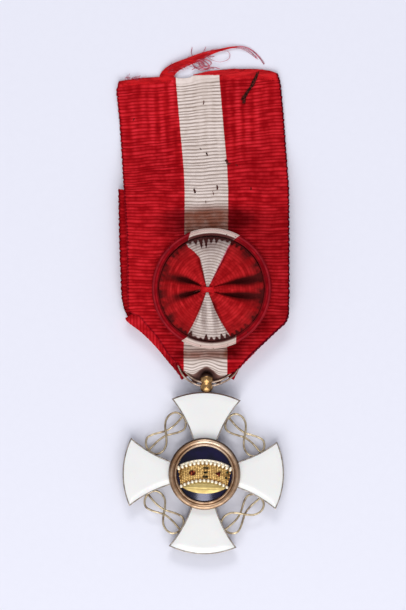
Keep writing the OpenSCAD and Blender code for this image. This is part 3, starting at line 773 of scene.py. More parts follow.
# Loose threads: how many lie together, and the way they take
loose_threads = [
    (4, [(3.0, 55.1, 0.5), (5.8, 55.85, 0.4), (8.0, 56.15, 0.25), (9.6, 55.95, 0.2),
         (11.1, 55.15, 0.15), (12.5, 53.8, 0.12), (13.6, 52.3, 0.1)]),
    (3, [(3.0, 55.0, 0.5), (5.8, 55.7, 0.4), (7.6, 55.8, 0.3), (9.2, 55.4, 0.2),
         (10.6, 54.6, 0.15), (11.9, 53.6, 0.1)]),
    (1, [(5.8, 55.8, 0.3), (8.4, 56.0, 0.2), (10.4, 55.2, 0.1), (12.2, 53.4, 0.1)]),
    (2, [(0.9, 54.0, 0.9), (2.2, 53.1, 0.6), (3.9, 52.75, 0.4), (5.6, 53.3, 0.3),
         (6.05, 54.4, 0.3), (5.3, 55.2, 0.4), (3.4, 55.2, 0.5)]),
    (2, [(-2.3, 55.9, 0.15), (-2.45, 54.6, 0.4), (-1.9, 53.5, 0.8)]),
    (2, [(0.75, 56.0, 0.15), (0.3, 55.0, 0.5), (0.0, 54.0, 0.8)]),
    (4, [(-2.4, 53.2, 0.7), (-2.1, 51.9, 0.4), (-1.3, 51.2, 0.3), (-0.2, 51.3, 0.4),
         (0.3, 52.1, 0.6), (-0.4, 52.7, 0.8), (-1.3, 52.6, 0.9)]),
    (5, [(-1.6, 53.0, 0.9), (-0.3, 53.1, 1.1), (0.9, 52.5, 0.9), (1.5, 51.6, 0.6),
         (0.7, 51.1, 0.5), (-0.3, 51.5, 0.6), (-0.9, 52.5, 0.8)]),
    (5, [(-0.6, 53.4, 0.9), (0.8, 53.2, 0.9), (1.9, 52.5, 0.7), (1.2, 51.8, 0.5),
         (0.0, 52.0, 0.6), (-0.4, 52.9, 0.8)]),
    (4, [(-1.8, 51.8, 0.5), (-0.6, 50.9, 0.5), (0.9, 51.0, 0.6), (2.3, 51.5, 0.7),
         (3.6, 51.2, 0.8)]),
    (3, [(-2.4, 50.9, 0.5), (-1.3, 51.5, 0.5), (0.6, 51.7, 0.6), (2.4, 51.3, 0.7)]),
]
draw = random.Random(21)
wisp_lines = []
for together, way in loose_threads:
    for _ in range(together):
        shift = np.array([draw.uniform(-1, 1), draw.uniform(-1, 1), draw.uniform(0, 0.3)])
        spread = np.linspace(0.3, 1.0, len(way))[:, None] * 0.16
        wisp_lines.append(smooth_line(np.array(way) + shift * spread, 0.2))
for _ in range(14):
    x, y = draw.uniform(-17.4, -13.4), draw.uniform(48.4, 49.0)
    wisp_lines.append(smooth_line([
        (x, y, 0.5), (x + draw.uniform(-0.6, 0.6), y + draw.uniform(0.2, 0.7), 0.65),
        (x + draw.uniform(-1.2, 1.2), y + draw.uniform(0.0, 1.2), 0.45)], 0.2))
for _ in range(60):
    at = draw.uniform(0.0, 0.85)
    x, y = -8 + 10.5 * at, 50.6 + 4.4 * at
    lift = draw.choice((-1, 1)) * draw.uniform(0.3, 1.1)
    wisp_lines.append(smooth_line([
        (x, y, 0.7), (x + draw.uniform(0.3, 1.2), y + 0.7 * lift + 0.3, 0.9),
        (x + draw.uniform(0.8, 2.6), y + 1.1 * lift + draw.uniform(0, 0.8), 0.6)], 0.2))
wisps = spin_threads("fray_wisps", wisp_lines, 0.075, fine_fibre)

# Stitches and marks on the ribbon
# A dark thread is left from an old stitch at the upper right, with a few black and brown
# fibres and stitch ends caught in the ribs.
dark_thread, tree, shader = new_material("dark_thread", Roughness=0.9, Specular_IOR_Level=0.1)
tone = noise(tree, object_place(tree), 2.0, 3)
feed(tree, shader, colour_mix(tree, eased_share(tree, tone, 0.4, 0.65), (0.016, 0.006, 0.004, 1),
                              (0.12, 0.016, 0.012, 1)), height=tone, distance=0.05 * MM)
old_stitch = [(12.1, 50.5), (11.6, 49.0), (10.8, 47.3), (9.7, 45.8), (9.0, 44.6), (8.95, 43.4)]
draw = random.Random(5)
twisted = []
for _ in range(16):
    phase, keeps, ends = draw.uniform(0, 6.3), draw.uniform(0.3, 1), draw.randint(0, 6)
    line = smooth_line([on_silk(x, y, 0.10) for x, y in old_stitch], 0.15)
    swell = 0.40 + 0.22 * ease((46.0 - line[:, 1]) / 2.2)
    spin = np.linspace(0, 7, len(line)) + phase
    line[:, 0] += keeps * swell * np.cos(spin)
    line[:, 1] += 0.4 * keeps * swell * np.cos(spin + 1)
    line[:, 2] += 0.10 + 0.16 * keeps * np.sin(spin)
    twisted.append(line[draw.randint(0, 6):len(line) - ends])
spin_threads("old_stitch", twisted, 0.17, dark_thread)
# Fibres: x, y, length, turn in degrees, thickness
fibres = [(0.17, 43.7, 0.9, 80, 0.2), (0.91, 32.3, 0.6, 110, 0.3), (-0.47, 33.45, 0.5, 130, 0.15),
          (3.16, 24.9, 0.9, 92, 0.36), (-1.8, 24.1, 0.9, 105, 0.4), (2.28, 23.6, 1.0, 100, 0.15),
          (0.67, 21.7, 0.6, 90, 0.12), (7.5, 29.8, 0.6, 140, 0.2), (10.6, 24.7, 0.5, 90, 0.25),
          (-15.2, 40.0, 0.5, 60, 0.2), (5.3, 30.6, 0.9, 115, 0.5), (5.75, 30.1, 0.7, 20, 0.25)]
for number, (x, y, long, turned, thick) in enumerate(fibres):
    dx, dy = long / 2 * math.cos(math.radians(turned)), long / 2 * math.sin(math.radians(turned))
    line = smooth_line([on_silk(x - dx, y - dy, -0.02), on_silk(x + dy * 0.2, y, 0.07),
                        on_silk(x + dx, y + dy, -0.02)], 0.1)
    spin_threads("caught_fibre_%d" % number, [line], thick, dark_thread, sides=2)

# Rosette rim
# A cord covered with the same ribbed silk, sewn round the gathered disc. The white stripe of
# its cover lies above and below.
REST_Z = 4.1
RIM_R = 12.325
RIM_TUBE = 0.875
RIM_RIB = 0.61
rim_silk, tree, shader, weave, uv = silk_material("rim_silk", RIM_RIB, (0.35, 0.006, 0.012, 1),
                                                  (0.14, 0.001, 0.004, 1), (0.4, 0.4))
spots = add_node(tree, "TexVoronoi", {"Vector": object_place(tree), "Scale": 0.9}).outputs["Distance"]
dirt = times(tree, eased_share(tree, spots, 0.16, 0.07), 0.85)
place = object_place(tree)
# Painted highlight: a pale crimson line along the cord's outer ridge.
ridge_highlight = ring_mask(tree, place, ROSETTE, 12.75, 12.85, 0.3)
# Painted shade: the cord's inner wall, and more of it at the top, takes a dark maroon, nearly fully
# on the white.
inner_wall = ring_mask(tree, place, ROSETTE, 11.0, 11.75, 0.35)
upper_wall = times(tree, ring_mask(tree, place, ROSETTE, 11.0, 12.1, 0.3),
                   eased_share(tree, place_up(tree), 11.0, 14.0))
shade = maths(tree, "MAXIMUM", inner_wall, upper_wall)
cover = colour_mix(tree, times(tree, ridge_highlight, 0.18), weave["Color"], (0.55, 0.08, 0.11, 1))
on_white = eased_share(tree, mark_on(tree, "stripe"), -0.3, 0.3)
cover = colour_mix(tree, 1.0, cover, (0.86, 0.80, 0.77, 1), "MULTIPLY")
cover = colour_mix(tree, times(tree, shade, eased_share(tree, on_white, 0, 1, 0.4, 0.97)),
                   cover, (0.075, 0.012, 0.012, 1))
feed_silk(tree, shader, colour_mix(tree, dirt, cover, (0.05, 0.012, 0.01, 1)), weave)
around = np.linspace(0, 2 * math.pi, 361)
about = np.linspace(0, 2 * math.pi, 41)
A, B = np.meshgrid(around, about, indexing="ij")
round_tube = B / (2 * math.pi) * 9 * RIM_RIB
tube = RIM_TUBE * (1 + 0.02 * np.sin(5 * A + 1) + 0.015 * np.sin(11 * A))
tube = tube - 0.05 + rib_height(round_tube, RIM_RIB, 0.04)
stitch = np.abs((np.degrees(A) / 7.5 + 0.5) % 1 - 0.5)
tube -= 0.035 * hill(stitch, 0, 0.10) * (np.cos(B) < 0.2)
reach = RIM_R + 0.05 * np.sin(3 * A + 0.6) + 0.2 * np.clip(np.sin(A), 0, 1) ** 3 + tube * np.cos(B)
rim_points = np.stack([ROSETTE[0] + reach * np.cos(A), ROSETTE[1] + reach * np.sin(A),
                       REST_Z + RIM_TUBE + tube * np.sin(B) * 0.97], axis=-1)
clock = (90 - np.degrees(A) + 180) % 360 - 180
outwards = np.cos(B)
top_in = np.minimum(clock + 23 - 3 * outwards, 26 + 2 * outwards - clock)
low_in = np.minimum(clock % 360 - 154 - 2 * outwards, 208 + 2 * outwards - clock % 360)
stripe_in = np.radians(np.maximum(top_in, low_in)) * RIM_R
rim = weave_cloth("rosette_cord", rim_points, np.stack([A * RIM_R, round_tube], axis=-1), 0,
                  stripe=stripe_in)
bpy.ops.object.mode_set(mode="EDIT")
bpy.ops.mesh.select_all(action="SELECT")
bpy.ops.mesh.remove_doubles(threshold=0.001 * MM)
bpy.ops.mesh.normals_make_consistent(inside=False)
bpy.ops.object.mode_set(mode="OBJECT")
dress(rim, rim_silk, "rosette_silk", "rosette_rim")

# Rosette petals
# A disc of the ribbon drawn together in its middle and gathered into the rim with small tucks.
# Its white stripe shows as one petal above and one below, between crimson ones.
PETAL_R = 11.3
PETAL_HIGH = 2.1
PETAL_RIB = 0.6
PETAL_CLOTH = 0.3
HUB = (-0.95, -0.2)
TUCKS = 58
PETAL_RINGS = 100
# Creases: angle at the rim and how far it bends towards the middle, spread in degrees,
# depth, where they are deepest from the middle out
creases = [(12.2, 14, 6.6, 1.7, 0.66), (-10.0, -14, 6.8, 1.7, 0.60), (163.5, -16, 7.6, 1.6, 0.48),
           (194.0, -3, 8.0, 1.6, 0.40), (66.5, 0, 2.0, 0.5, 0.4), (109.5, 0, 2.4, 0.6, 0.4),
           (244.5, 0, 3.0, 0.6, 0.5), (290.0, 0, 2.6, 0.6, 0.5)]
angles = np.linspace(0, 360, TUCKS * 8 + 1)
share = np.linspace(0.01, 1, PETAL_RINGS)
S, A = np.meshgrid(share, angles, indexing="ij")


def off_angle(a, middle_angle):
    """How far an angle lies from another, in degrees to both sides."""
    return (a - middle_angle + 180) % 360 - 180


def sine(degrees):
    return np.sin(np.radians(degrees))


draw = random.Random(31)
tuck_size = np.array([draw.choice((0.2, 0.6, 1.0, 1.3)) for _ in range(TUCKS)])
which = np.floor(A / 360 * TUCKS).astype(int) % TUCKS
slip = 9 * sine(A * 5 + 20) + 7 * sine(A * 11)
tuck = (0.5 - 0.5 * np.cos(np.radians(A * TUCKS + slip))) ** 1.6 * tuck_size[which]
on_top = np.clip(sine(A), 0, 1) ** 6
on_foot = np.clip(-sine(A), 0, 1) ** 6
distinct = np.clip(on_top + on_foot, 0, 1)
tuck_depth = 0.035 + 0.105 * on_top + 0.04 * on_foot
loop_end = 0.965 - tuck_depth * tuck
gap = ease((S - loop_end) / 0.035)
high = PETAL_HIGH * np.interp(S, [0, 0.1, 0.22, 0.45, 0.8, 0.92, 1],
                              [0.42, 0.6, 0.86, 1.0, 0.95, 0.84, 0.72])
# Painted shade, with a little pinkish dirt over all: how much of the dark colour each point takes, in
# the creases, beside the pleat, along the rays, towards the rim, in the gap under the rim and on the
# upper petal.
petal_soil = np.zeros_like(S)
for angle, bend, spread, depth, deepest in creases:
    away_from = off_angle(A, angle + bend * (1 - S) ** 2)
    along_it = hill(S, deepest, 0.36) * ease(S / 0.12)
    dent = hill(away_from, 0, spread * (0.5 + 0.5 * along_it), 2.6)
    high -= depth * along_it * dent
    high += 0.10 * depth * hill(np.abs(away_from), 2.8 * spread, spread) * S
    # Painted shade in the crease.
    petal_soil += (depth - 0.35) * along_it * dent
rays = (sine(A * 29) + 0.6 * sine(A * 47 + 60)) * (1 - 0.6 * distinct)
high += 0.035 * S * rays
petal_soil += 0.22 * ease((S - 0.62) / 0.3) + 0.06 * rays * S
left_n, right_n = np.interp(S, [0.63, 0.93], [108, 119]), 67.3
left_s, right_s = np.interp(S, [0.4, 1], [246, 242.3]), np.interp(S, [0.4, 1], [286, 291.7])
# One broad pleat stands up in the lower white petal
pleat = off_angle(A, 270.5) * math.pi / 180 * S * PETAL_R
pleat_starts = ease((S - 0.1) / 0.3)
pleat_side = hill(np.abs(pleat) - 0.9 - 0.9 * S, 0, 0.5) * pleat_starts
high += 0.45 * pleat_starts * hill(pleat, 0, 0.5 + 0.5 * S, 4)
high -= 0.5 * pleat_side * (1 - 0.7 * ease((S - 0.6) / 0.25))
petal_soil += 0.5 * pleat_side * (1 - ease((S - 0.6) / 0.3))
petal_soil += 0.15 * hill(A, 92, 22) * ease((S - 0.62) / 0.25)
high += 0.20 * S * hill(off_angle(A, right_n + 1.2), 0, 1.1)
high += 0.22 * hill(S - loop_end, -0.045, 0.04) - (0.1 + 0.6 * distinct) * gap
petal_soil += (0.36 + 1.3 * distinct) * gap + 0.06 + 0.26 * hill(A, 88, 24)
# Painted shade in soft patches near the rim of the crimson petals.
patches = sine(A * 13 + 200 * S) + sine(A * 23 - 300 * S + 70)
rim_zone_shade = np.clip(patches + 0.7, 0, 1.6) * ease((S - 0.80) / 0.16)
petal_soil += (0.22 + 0.2 * np.cos(np.radians(A - 35)) ** 2) * rim_zone_shade * (1 - distinct)
R = PETAL_R * S + 0.22 * ease((S - 0.955) / 0.045)
wander = 0.12 * sine(3 * A) + 0.08 * sine(7 * A + 40)
rib_along = PETAL_R * S + wander * S
high += rib_height(rib_along, PETAL_RIB, 0.05) * ease((S - 0.05) / 0.1) * (1 - gap)
petal_points = np.stack([
    ROSETTE[0] + HUB[0] * (1 - S) + R * np.cos(np.radians(A)),
    ROSETTE[1] + HUB[1] * (1 - S) + R * np.sin(np.radians(A)),
    REST_Z + np.maximum(high, 0.36)], axis=-1)
inside_stripe = np.maximum(np.minimum(A - right_n, left_n - A), np.minimum(A - left_s, right_s - A))
stripe_in = np.radians(inside_stripe) * PETAL_R * S
petal_silk, tree, shader, weave, uv = silk_material("petal_silk", PETAL_RIB,
                                                    (0.55, 0.017, 0.018, 1), depths=(0.28, 0.85))
mottled = eased_share(tree, noise(tree, object_place(tree), 0.9, 4), 0.3, 0.75, 0.85, 1.08)
# Painted shade and a little dirt, from the mesh's mark, darken the petals.
soil = times(tree, mark_on(tree, "soil"), mottled, clamp=True)
feed_silk(tree, shader, colour_mix(tree, times(tree, soil, 0.97), weave["Color"],
                                   (0.060, 0.007, 0.007, 1)), weave)
petals = weave_cloth("rosette_gathers", petal_points[:, ::-1],
                     np.stack([np.radians(A) * 8, rib_along], axis=-1)[:, ::-1], 0,
                     stripe=stripe_in[:, ::-1], soil=petal_soil[:, ::-1])
bpy.ops.object.mode_set(mode="EDIT")
bpy.ops.mesh.select_all(action="SELECT")
bpy.ops.mesh.remove_doubles(threshold=0.001 * MM)
bpy.ops.object.mode_set(mode="OBJECT")
thicken(petals, PETAL_CLOTH)
dress(petals, petal_silk, "rosette_silk", "rosette_petals")


def by_hub(x, y, z):
    """A point beside the gathered middle, in millimetres."""
    return (ROSETTE[0] + HUB[0] + x, ROSETTE[1] + HUB[1] + y, REST_Z + z)


stitch_way = [(-1.55, 0.9, 1.0), (-0.7, 0.55, 1.45), (0.1, 0.42, 1.55), (0.9, 0.5, 1.45),
              (1.7, 0.8, 1.0)]
stitches = [smooth_line([by_hub(x, y * lift, z) for x, y, z in stitch_way], 0.12)
            for lift in np.linspace(-1, 1, 7)]
gather_stitch = spin_threads("gather_stitch", stitches, 0.26, warp_floss, "rosette_silk", 2)
edge_rows = np.arange(12, PETAL_RINGS - 8)
edge_column = int(np.argmin(np.abs(angles - right_n)))
pleat_edge = petal_points[edge_rows, edge_column] + (0, 0, 0.05)
spin_threads("gather_edge", [pleat_edge], 0.24, fine_fibre, "rosette_silk", 2)
thread_ends = []
for side, x in ((-1, -2.35), (1, 3.05)):
    for lift in (-0.5, 0.0, 0.5):
        thread_ends.append(smooth_line([
            by_hub(x - side * 0.8, 0.4 * lift, 1.4), by_hub(x, 0.9 * lift + 0.15, 1.75),
            by_hub(x + side * 0.6, 1.3 * lift, 1.5)], 0.1))
spin_threads("gather_thread_ends", thread_ends, 0.2, dark_thread, "rosette_silk")

# Suspension ring
# Two turns of thin gilt wire side by side, sprung through the eye in the lower ball and
# through the ribbon's fold.
RING = (1.07, -11.17, 2.0)
RING_R = 7.26
WIRE = 0.42
RING_ENDS = 205


def make_worn_metal():
    """Shared finish: clean metal on the proud places, tarnish in patches, and fine scratches."""
    group, given, made = start_finish("worn_metal", {
        "Place": "Vector", "Clean": "Color", "Tarnish": "Color", "Amount": "Float",
        "Polish": "Float"})
    cloud = noise(group, given["Place"], 0.7, 4, 0.6)
    fine = noise(group, given["Place"], 6.0, 3, 0.6)
    scratch = noise(group, stretch(group, given["Place"], (2, 30, 2), 0.6), 1.0)
    dull = times(group, eased_share(group, cloud, 0.35, 0.7), given["Amount"])
    group.links.new(colour_mix(group, dull, given["Clean"], given["Tarnish"]), made["Color"])
    rough = plus(group, given["Polish"], times(group, dull, 0.22))
    rough = plus(group, rough, times(group, scratch, 0.08))
    group.links.new(rough, made["Roughness"])
    group.links.new(plus(group, times(group, fine, 0.7), times(group, scratch, 0.3)), made["Height"])
    return group


worn_metal = make_worn_metal()


def metal_material(name, clean, tarnish, amount=0.6, polish=0.25, bump=0.02, soil=None):
    """Worn metal. soil is the colour of the dirt and painted shade where the piece has the mark of
    that name.
    """
    made, tree, shader = new_material(name, Metallic=1.0)
    worn = add_node(tree, "Group", {"Place": object_place(tree), "Clean": clean,
                                    "Tarnish": tarnish, "Amount": amount, "Polish": polish},
                    node_tree=worn_metal).outputs
    colour = worn["Color"]
    if soil:
        colour = colour_mix(tree, mark_on(tree, "soil"), colour, soil)
    feed(tree, shader, colour, worn["Roughness"], worn["Height"], 0.6, bump * MM)
    return made


def finish_piece(made, name, material, slot, *nodes):
    """Names a new piece, gives it its finish and has it stand for CAD nodes."""
    made.name = made.data.name = name
    pick(made)
    bpy.ops.object.transform_apply(location=True, rotation=True, scale=True)
    made.data.materials.clear()
    dress(made, material, slot, *nodes)
    return made


def join_pieces(parts):
    bpy.ops.object.select_all(action="DESELECT")
    for part in parts:
        part.select_set(True)
    bpy.context.view_layer.objects.active = parts[0]
    bpy.ops.object.join()
    return bpy.context.object


ring_gilt = metal_material("ring_gilt", (0.56, 0.43, 0.34, 1), (0.22, 0.14, 0.10, 1), 0.9, 0.38)
way = np.linspace(0, 660, 331)
wire_r = RING_R + 0.34 - 0.72 * ease((way - 180) / 120) - 0.45 * (1 - ease(way / 27))
wire_r += 0.12 * hill(way, 50, 9) + 0.16 * hill(way, 115, 20)
wire_r += 0.16 * hill(way, 475, 20) - 0.25 * hill(way, 380, 16)
wire_z = RING[2] + 0.12 * hill(way, 0, 20)
angle = np.radians(RING_ENDS + way)
ring_line = np.stack([RING[0] + wire_r * np.cos(angle), RING[1] + wire_r * np.sin(angle), wire_z],
                     axis=-1)
ring_wires = spin_threads("ring_wires", [ring_line], WIRE, ring_gilt, "ring_metal", 4)
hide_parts("suspension_ring")

# Gold body of the cross
# Four trays of gold sheet with thin upright rims are soldered to a round hub. The rims have
# gone grey brown from handling, and the reverse is plain.
CROSS_AT = (0.385, -38.1)
CROSS = (Matrix.Translation((CROSS_AT[0] * MM, CROSS_AT[1] * MM, 0))
         @ Matrix.Rotation(math.radians(-1.4), 4, "Z"))
PLATE_Z, RIM_TOP = 1.3, 2.8
# Arms: turn in degrees, reach from the centre, how far off the centres of their hollow sides lie
ARMS = {"right": (0, 17.5, 27.7), "top": (90, 18.0, 27.42), "left": (180, 18.0, 27.35),
        "bottom": (270, 17.7, 27.5)}
SIDE_R = 26.0
ARM_STARTS = 7.2
RIM_W = 0.24
TRAY_DEEP = 0.5


def arm_side(side_away, inset):
    """Distance from the cross's centre and angle of one hollow side of an arm."""
    x = np.linspace(0, 19, 400)
    y = side_away - np.sqrt((SIDE_R + inset) ** 2 - (x + 0.5) ** 2)
    return np.hypot(x, y), np.arctan2(y, x)


def arm_outline(reach, side_away, inset, start, sides=40, ends=28):
    """Points round an arm that lies along X: one hollow side, the curved end, the other side."""
    away, angle = arm_side(side_away, inset)
    out = np.linspace(start, reach - inset, sides)
    phi = np.interp(out, away, angle)
    arc = np.linspace(phi[-1], -phi[-1], ends + 1)[1:-1]
    line = [(r * math.cos(a), -r * math.sin(a)) for r, a in zip(out, phi)]
    line += [((reach - inset) * math.cos(a), -(reach - inset) * math.sin(a)) for a in arc]
    line += [(r * math.cos(a), r * math.sin(a)) for r, a in zip(out[::-1], phi[::-1])]
    return np.array(line)


def reopen(metal):
    """The node tree of a metal, its shader and its worn colour, to go on from."""
    tree = metal.node_tree
    shader = tree.nodes["Principled BSDF"]
    return tree, shader, shader.inputs["Base Color"].links[0].from_socket


tray_gold = metal_material("tray_gold", (0.46, 0.39, 0.33, 1), (0.12, 0.095, 0.08, 1), 0.9, 0.30)
tree, shader, worn = reopen(tray_gold)
# Painted shade: the rims next to the ribbon are darker brown.
ribbon_shade = eased_share(tree, place_up(tree), -23.0, -20.6, 0.0, 0.9)
feed(tree, shader, colour_mix(tree, ribbon_shade, worn, (0.10, 0.045, 0.03, 1)))


def raise_all(lift):
    """Extrudes what is selected straight up, in millimetres."""
    bpy.ops.mesh.extrude_region_move(TRANSFORM_OT_translate={"value": (0, 0, lift * MM)})


def face_outwards():
    bpy.ops.mesh.select_all(action="SELECT")
    bpy.ops.mesh.normals_make_consistent(inside=False)


def soften_edges(made, width, sharper_than):
    """Rounds the active piece's edges that turn by more than an angle in degrees."""
    softened = made.modifiers.new("edges", "BEVEL")
    softened.width = width * MM
    softened.segments = 2
    softened.limit_method = "ANGLE"
    softened.angle_limit = math.radians(sharper_than)
    bpy.ops.object.modifier_apply(modifier="edges")


trays = []
for turned, reach, side_away in ARMS.values():
    outline = arm_outline(reach, side_away, 0, ARM_STARTS)
    bpy.ops.mesh.primitive_circle_add(vertices=len(outline), radius=MM, fill_type="NGON")
    tray = bpy.context.object
    flat = np.column_stack([outline * MM, np.full(len(outline), RIM_TOP * MM)])
    tray.data.vertices.foreach_set("co", flat.astype(np.float32).ravel())
    tray.data.update()
    bpy.ops.object.mode_set(mode="EDIT")
    face_outwards()
    raise_all(PLATE_Z - RIM_TOP)
    face_outwards()
    bpy.ops.mesh.select_all(action="DESELECT")
    bpy.ops.object.mode_set(mode="OBJECT")
    for face in tray.data.polygons:
        face.select = len(face.vertices) > 4 and face.center.z > (RIM_TOP - 0.01) * MM
    bpy.ops.object.mode_set(mode="EDIT")
    bpy.ops.mesh.inset(thickness=RIM_W * MM, depth=0)
    raise_all(-TRAY_DEEP)
    bpy.ops.object.mode_set(mode="OBJECT")
    soften_edges(tray, 0.07, 50)
    bpy.ops.object.shade_smooth_by_angle(angle=math.radians(35))
    tray.data.transform(CROSS @ Matrix.Rotation(math.radians(turned), 4, "Z"))
    trays.append(tray)


def turn_profile(profile, steps=144):
    """A lathe-turned part: a closed profile of radius and height, spun round the cross's centre."""
    bpy.ops.mesh.primitive_circle_add(vertices=len(profile), radius=MM, fill_type="NOTHING")
    part = bpy.context.object
    at = np.array([(r, 0, z) for r, z in profile]) * MM
    part.data.vertices.foreach_set("co", at.astype(np.float32).ravel())
    part.data.update()
    bpy.ops.object.mode_set(mode="EDIT")
    bpy.ops.mesh.select_all(action="SELECT")
    bpy.ops.mesh.spin(steps=steps, angle=2 * math.pi, center=(0, 0, 0), axis=(0, 0, 1))
    bpy.ops.mesh.select_all(action="SELECT")
    bpy.ops.mesh.remove_doubles(threshold=0.002 * MM)
    bpy.ops.mesh.normals_make_consistent(inside=False)
    bpy.ops.object.mode_set(mode="OBJECT")
    bpy.ops.object.shade_smooth_by_angle(angle=math.radians(40))
    part.data.transform(CROSS)
    return part


hub = turn_profile([(0.02, 0.0), (6.9, 0.0), (7.15, 0.12), (7.28, 0.35), (7.28, PLATE_Z),
                    (7.8, PLATE_Z + 0.02), (7.88, PLATE_Z + 0.1), (7.88, RIM_TOP), (0.02, RIM_TOP)])
finish_piece(join_pieces(trays + [hub]), "cross_body", tray_gold, "gold", "cross_frame")

# Enamel
# Opaque white enamel is fired into the four trays, ground flat and fired again, so that its
# face swells gently and rolls down to the gold rim, where it catches the light.
white_enamel, tree, shader = new_material("white_enamel_glass", Roughness=0.22, Coat_Weight=0.3,
                                          Coat_Roughness=0.10, IOR=1.5, Subsurface_Weight=0.08,
                                          Subsurface_Scale=0.0006)
place = object_place(tree)
cloud = noise(tree, place, 0.18, 3)
pits = add_node(tree, "TexVoronoi", {"Vector": place, "Scale": 0.55}).outputs["Distance"]
white = colour_mix(tree, cloud, (0.82, 0.81, 0.77, 1), (0.86, 0.85, 0.81, 1))
feed(tree, shader, colour_mix(tree, eased_share(tree, pits, 0.035, 0.015), white,
                              (0.45, 0.42, 0.38, 1)),
     eased_share(tree, cloud, 0.3, 0.7, 0.18, 0.26), noise(tree, place, 0.35, 3), 0.5, 0.04 * MM)
FIELD_STARTS = 7.92
FIELD_GAP = 0.03
FIELD_WALL = 0.44
ROLLS_FROM = 1.7


def raised_plate(name, points, uv, drop, turned=0.0, **marks):
    """A plate from a grid of points in millimetres from the cross's centre, with walls down to
    its seat."""
    plate = weave_cloth(name, points, uv, 0, **marks)
    bpy.ops.object.mode_set(mode="EDIT")
    face_outwards()
    bpy.ops.mesh.region_to_loop()
    bpy.ops.mesh.extrude_edges_move(TRANSFORM_OT_translate={"value": (0, 0, -drop * MM)})
    bpy.ops.mesh.edge_face_add()
    face_outwards()
    bpy.ops.object.mode_set(mode="OBJECT")
    bpy.ops.object.shade_smooth_by_angle(angle=math.radians(50))
    plate.data.transform(CROSS @ Matrix.Rotation(math.radians(turned), 4, "Z"))
    return plate


for name, (turned, reach, side_away) in ARMS.items():
    inset = RIM_W + FIELD_GAP
    away, angle = arm_side(side_away, inset)
    u = np.sin(np.linspace(-math.pi / 2, math.pi / 2, 49))
    v = (1 - np.cos(np.linspace(0, math.pi, 61))) / 2
    out = FIELD_STARTS + (reach - inset - FIELD_STARTS) * v
    phi = np.interp(out, away, angle)
    U, OUT = np.meshgrid(u, out)
    PHI = phi[:, None]
    side_gap = OUT * PHI * (1 - np.abs(U)) * np.cos(PHI * U)
    edge_gap = np.minimum(side_gap, reach - inset - OUT)
    z = RIM_TOP + 0.04 + 0.15 * (1 - (1 - np.clip(edge_gap / ROLLS_FROM, 0, 1)) ** 2.4)
    z += 0.04 * np.clip(side_gap / 6, 0, 1)
    points = np.stack([OUT * np.cos(PHI * U), OUT * np.sin(PHI * U), z], axis=-1)
    arm = raised_plate("glass", points[:, ::-1], np.stack([U, OUT], -1), FIELD_WALL, turned)
    finish_piece(arm, "enamel_field_" + name, white_enamel, "white_enamel", "enamel_" + name)

# Balls and eye
# Two solid gold beads are soldered on top of each other and to the upper arm. The ring runs
# through an eye that is drilled just below where they meet.
BALL_UP = (19.2, 20.9)
BALL_R = 1.45
BALL_Z = 2.0
NECK_R, NECK_LONG, NECK_UP = 0.62, 1.1, 18.05
EYE_R, DRILL_LONG, EYE_UP = 0.70, 6, 19.68
ball_gold = metal_material("ball_gold", (0.52, 0.30, 0.11, 1), (0.25, 0.125, 0.035, 1), 0.7, 0.30)
tree, shader, worn = reopen(ball_gold)
shader.inputs["Coat Weight"].default_value = 0.35
shader.inputs["Coat Roughness"].default_value = 0.28
# Painted shade: the top of the upper ball, under the ribbon's fold, is dark brown and rougher.
above_ball = ring_mask(tree, object_place(tree), (0.9, -17.95), 1.5, 4.0, 0.3)
in_fold = times(tree, above_ball, eased_share(tree, place_up(tree), -17.3, -16.6))
feed(tree, shader, colour_mix(tree, in_fold, worn, (0.035, 0.013, 0.008, 1)),
     eased_share(tree, in_fold, 0.0, 1.0, 0.3, 0.6))
parts = []
for y in BALL_UP:
    bpy.ops.mesh.primitive_uv_sphere_add(segments=64, ring_count=40, radius=BALL_R * MM,
                                         location=(0, y * MM, BALL_Z * MM))
    parts.append(bpy.context.object)
for r, long, y, axis in ((NECK_R, NECK_LONG, NECK_UP, (math.pi / 2, 0, 0)),
                         (EYE_R, DRILL_LONG, EYE_UP, (0, math.pi / 2, 0))):
    bpy.ops.mesh.primitive_cylinder_add(vertices=48, radius=r * MM, depth=long * MM,
                                        location=(0, y * MM, BALL_Z * MM), rotation=axis)
    parts.append(bpy.context.object)
beads = parts[0]
for other, how in zip(parts[1:], ("UNION", "UNION", "DIFFERENCE")):
    cut = beads.modifiers.new("solder", "BOOLEAN")
    cut.object = other
    cut.operation = how
    cut.solver = "EXACT"
    pick(beads)
    bpy.ops.object.modifier_apply(modifier="solder")
    bpy.data.objects.remove(other)
soften_edges(beads, 0.05, 40)
bpy.ops.object.transform_apply(location=True, rotation=True, scale=True)
beads.data.transform(CROSS)
bpy.ops.object.shade_smooth_by_angle(angle=math.radians(40))
finish_piece(beads, "balls", ball_gold, "gold", "cross_frame")

# Knots between the arms
# Each gap is filled with a knot of two loops of fine gold wire, bent by hand, crossed in the
# middle and soldered to the arms at their ends.
KNOT_WIRE = 0.46
KNOT_Z = 2.0
SOLDER_R = 0.27
# Half a knot from its middle to its soldered end: across, out, height
knot_half = [(0.25, -0.3, 0.17), (-0.1, 0.15, 0.17), (-0.8, 1.05, 0.15), (-1.9, 2.0, 0),
             (-3.4, 2.35, 0), (-4.8, 1.75, 0), (-5.3, 0.3, 0), (-4.9, -1.2, 0), (-3.7, -2.1, 0),
             (-2.3, -1.8, 0), (-0.8, -1.0, -0.15), (0.6, -0.3, -0.17), (2.6, 0.0, 0),
             (5.05, -0.1, 0)]
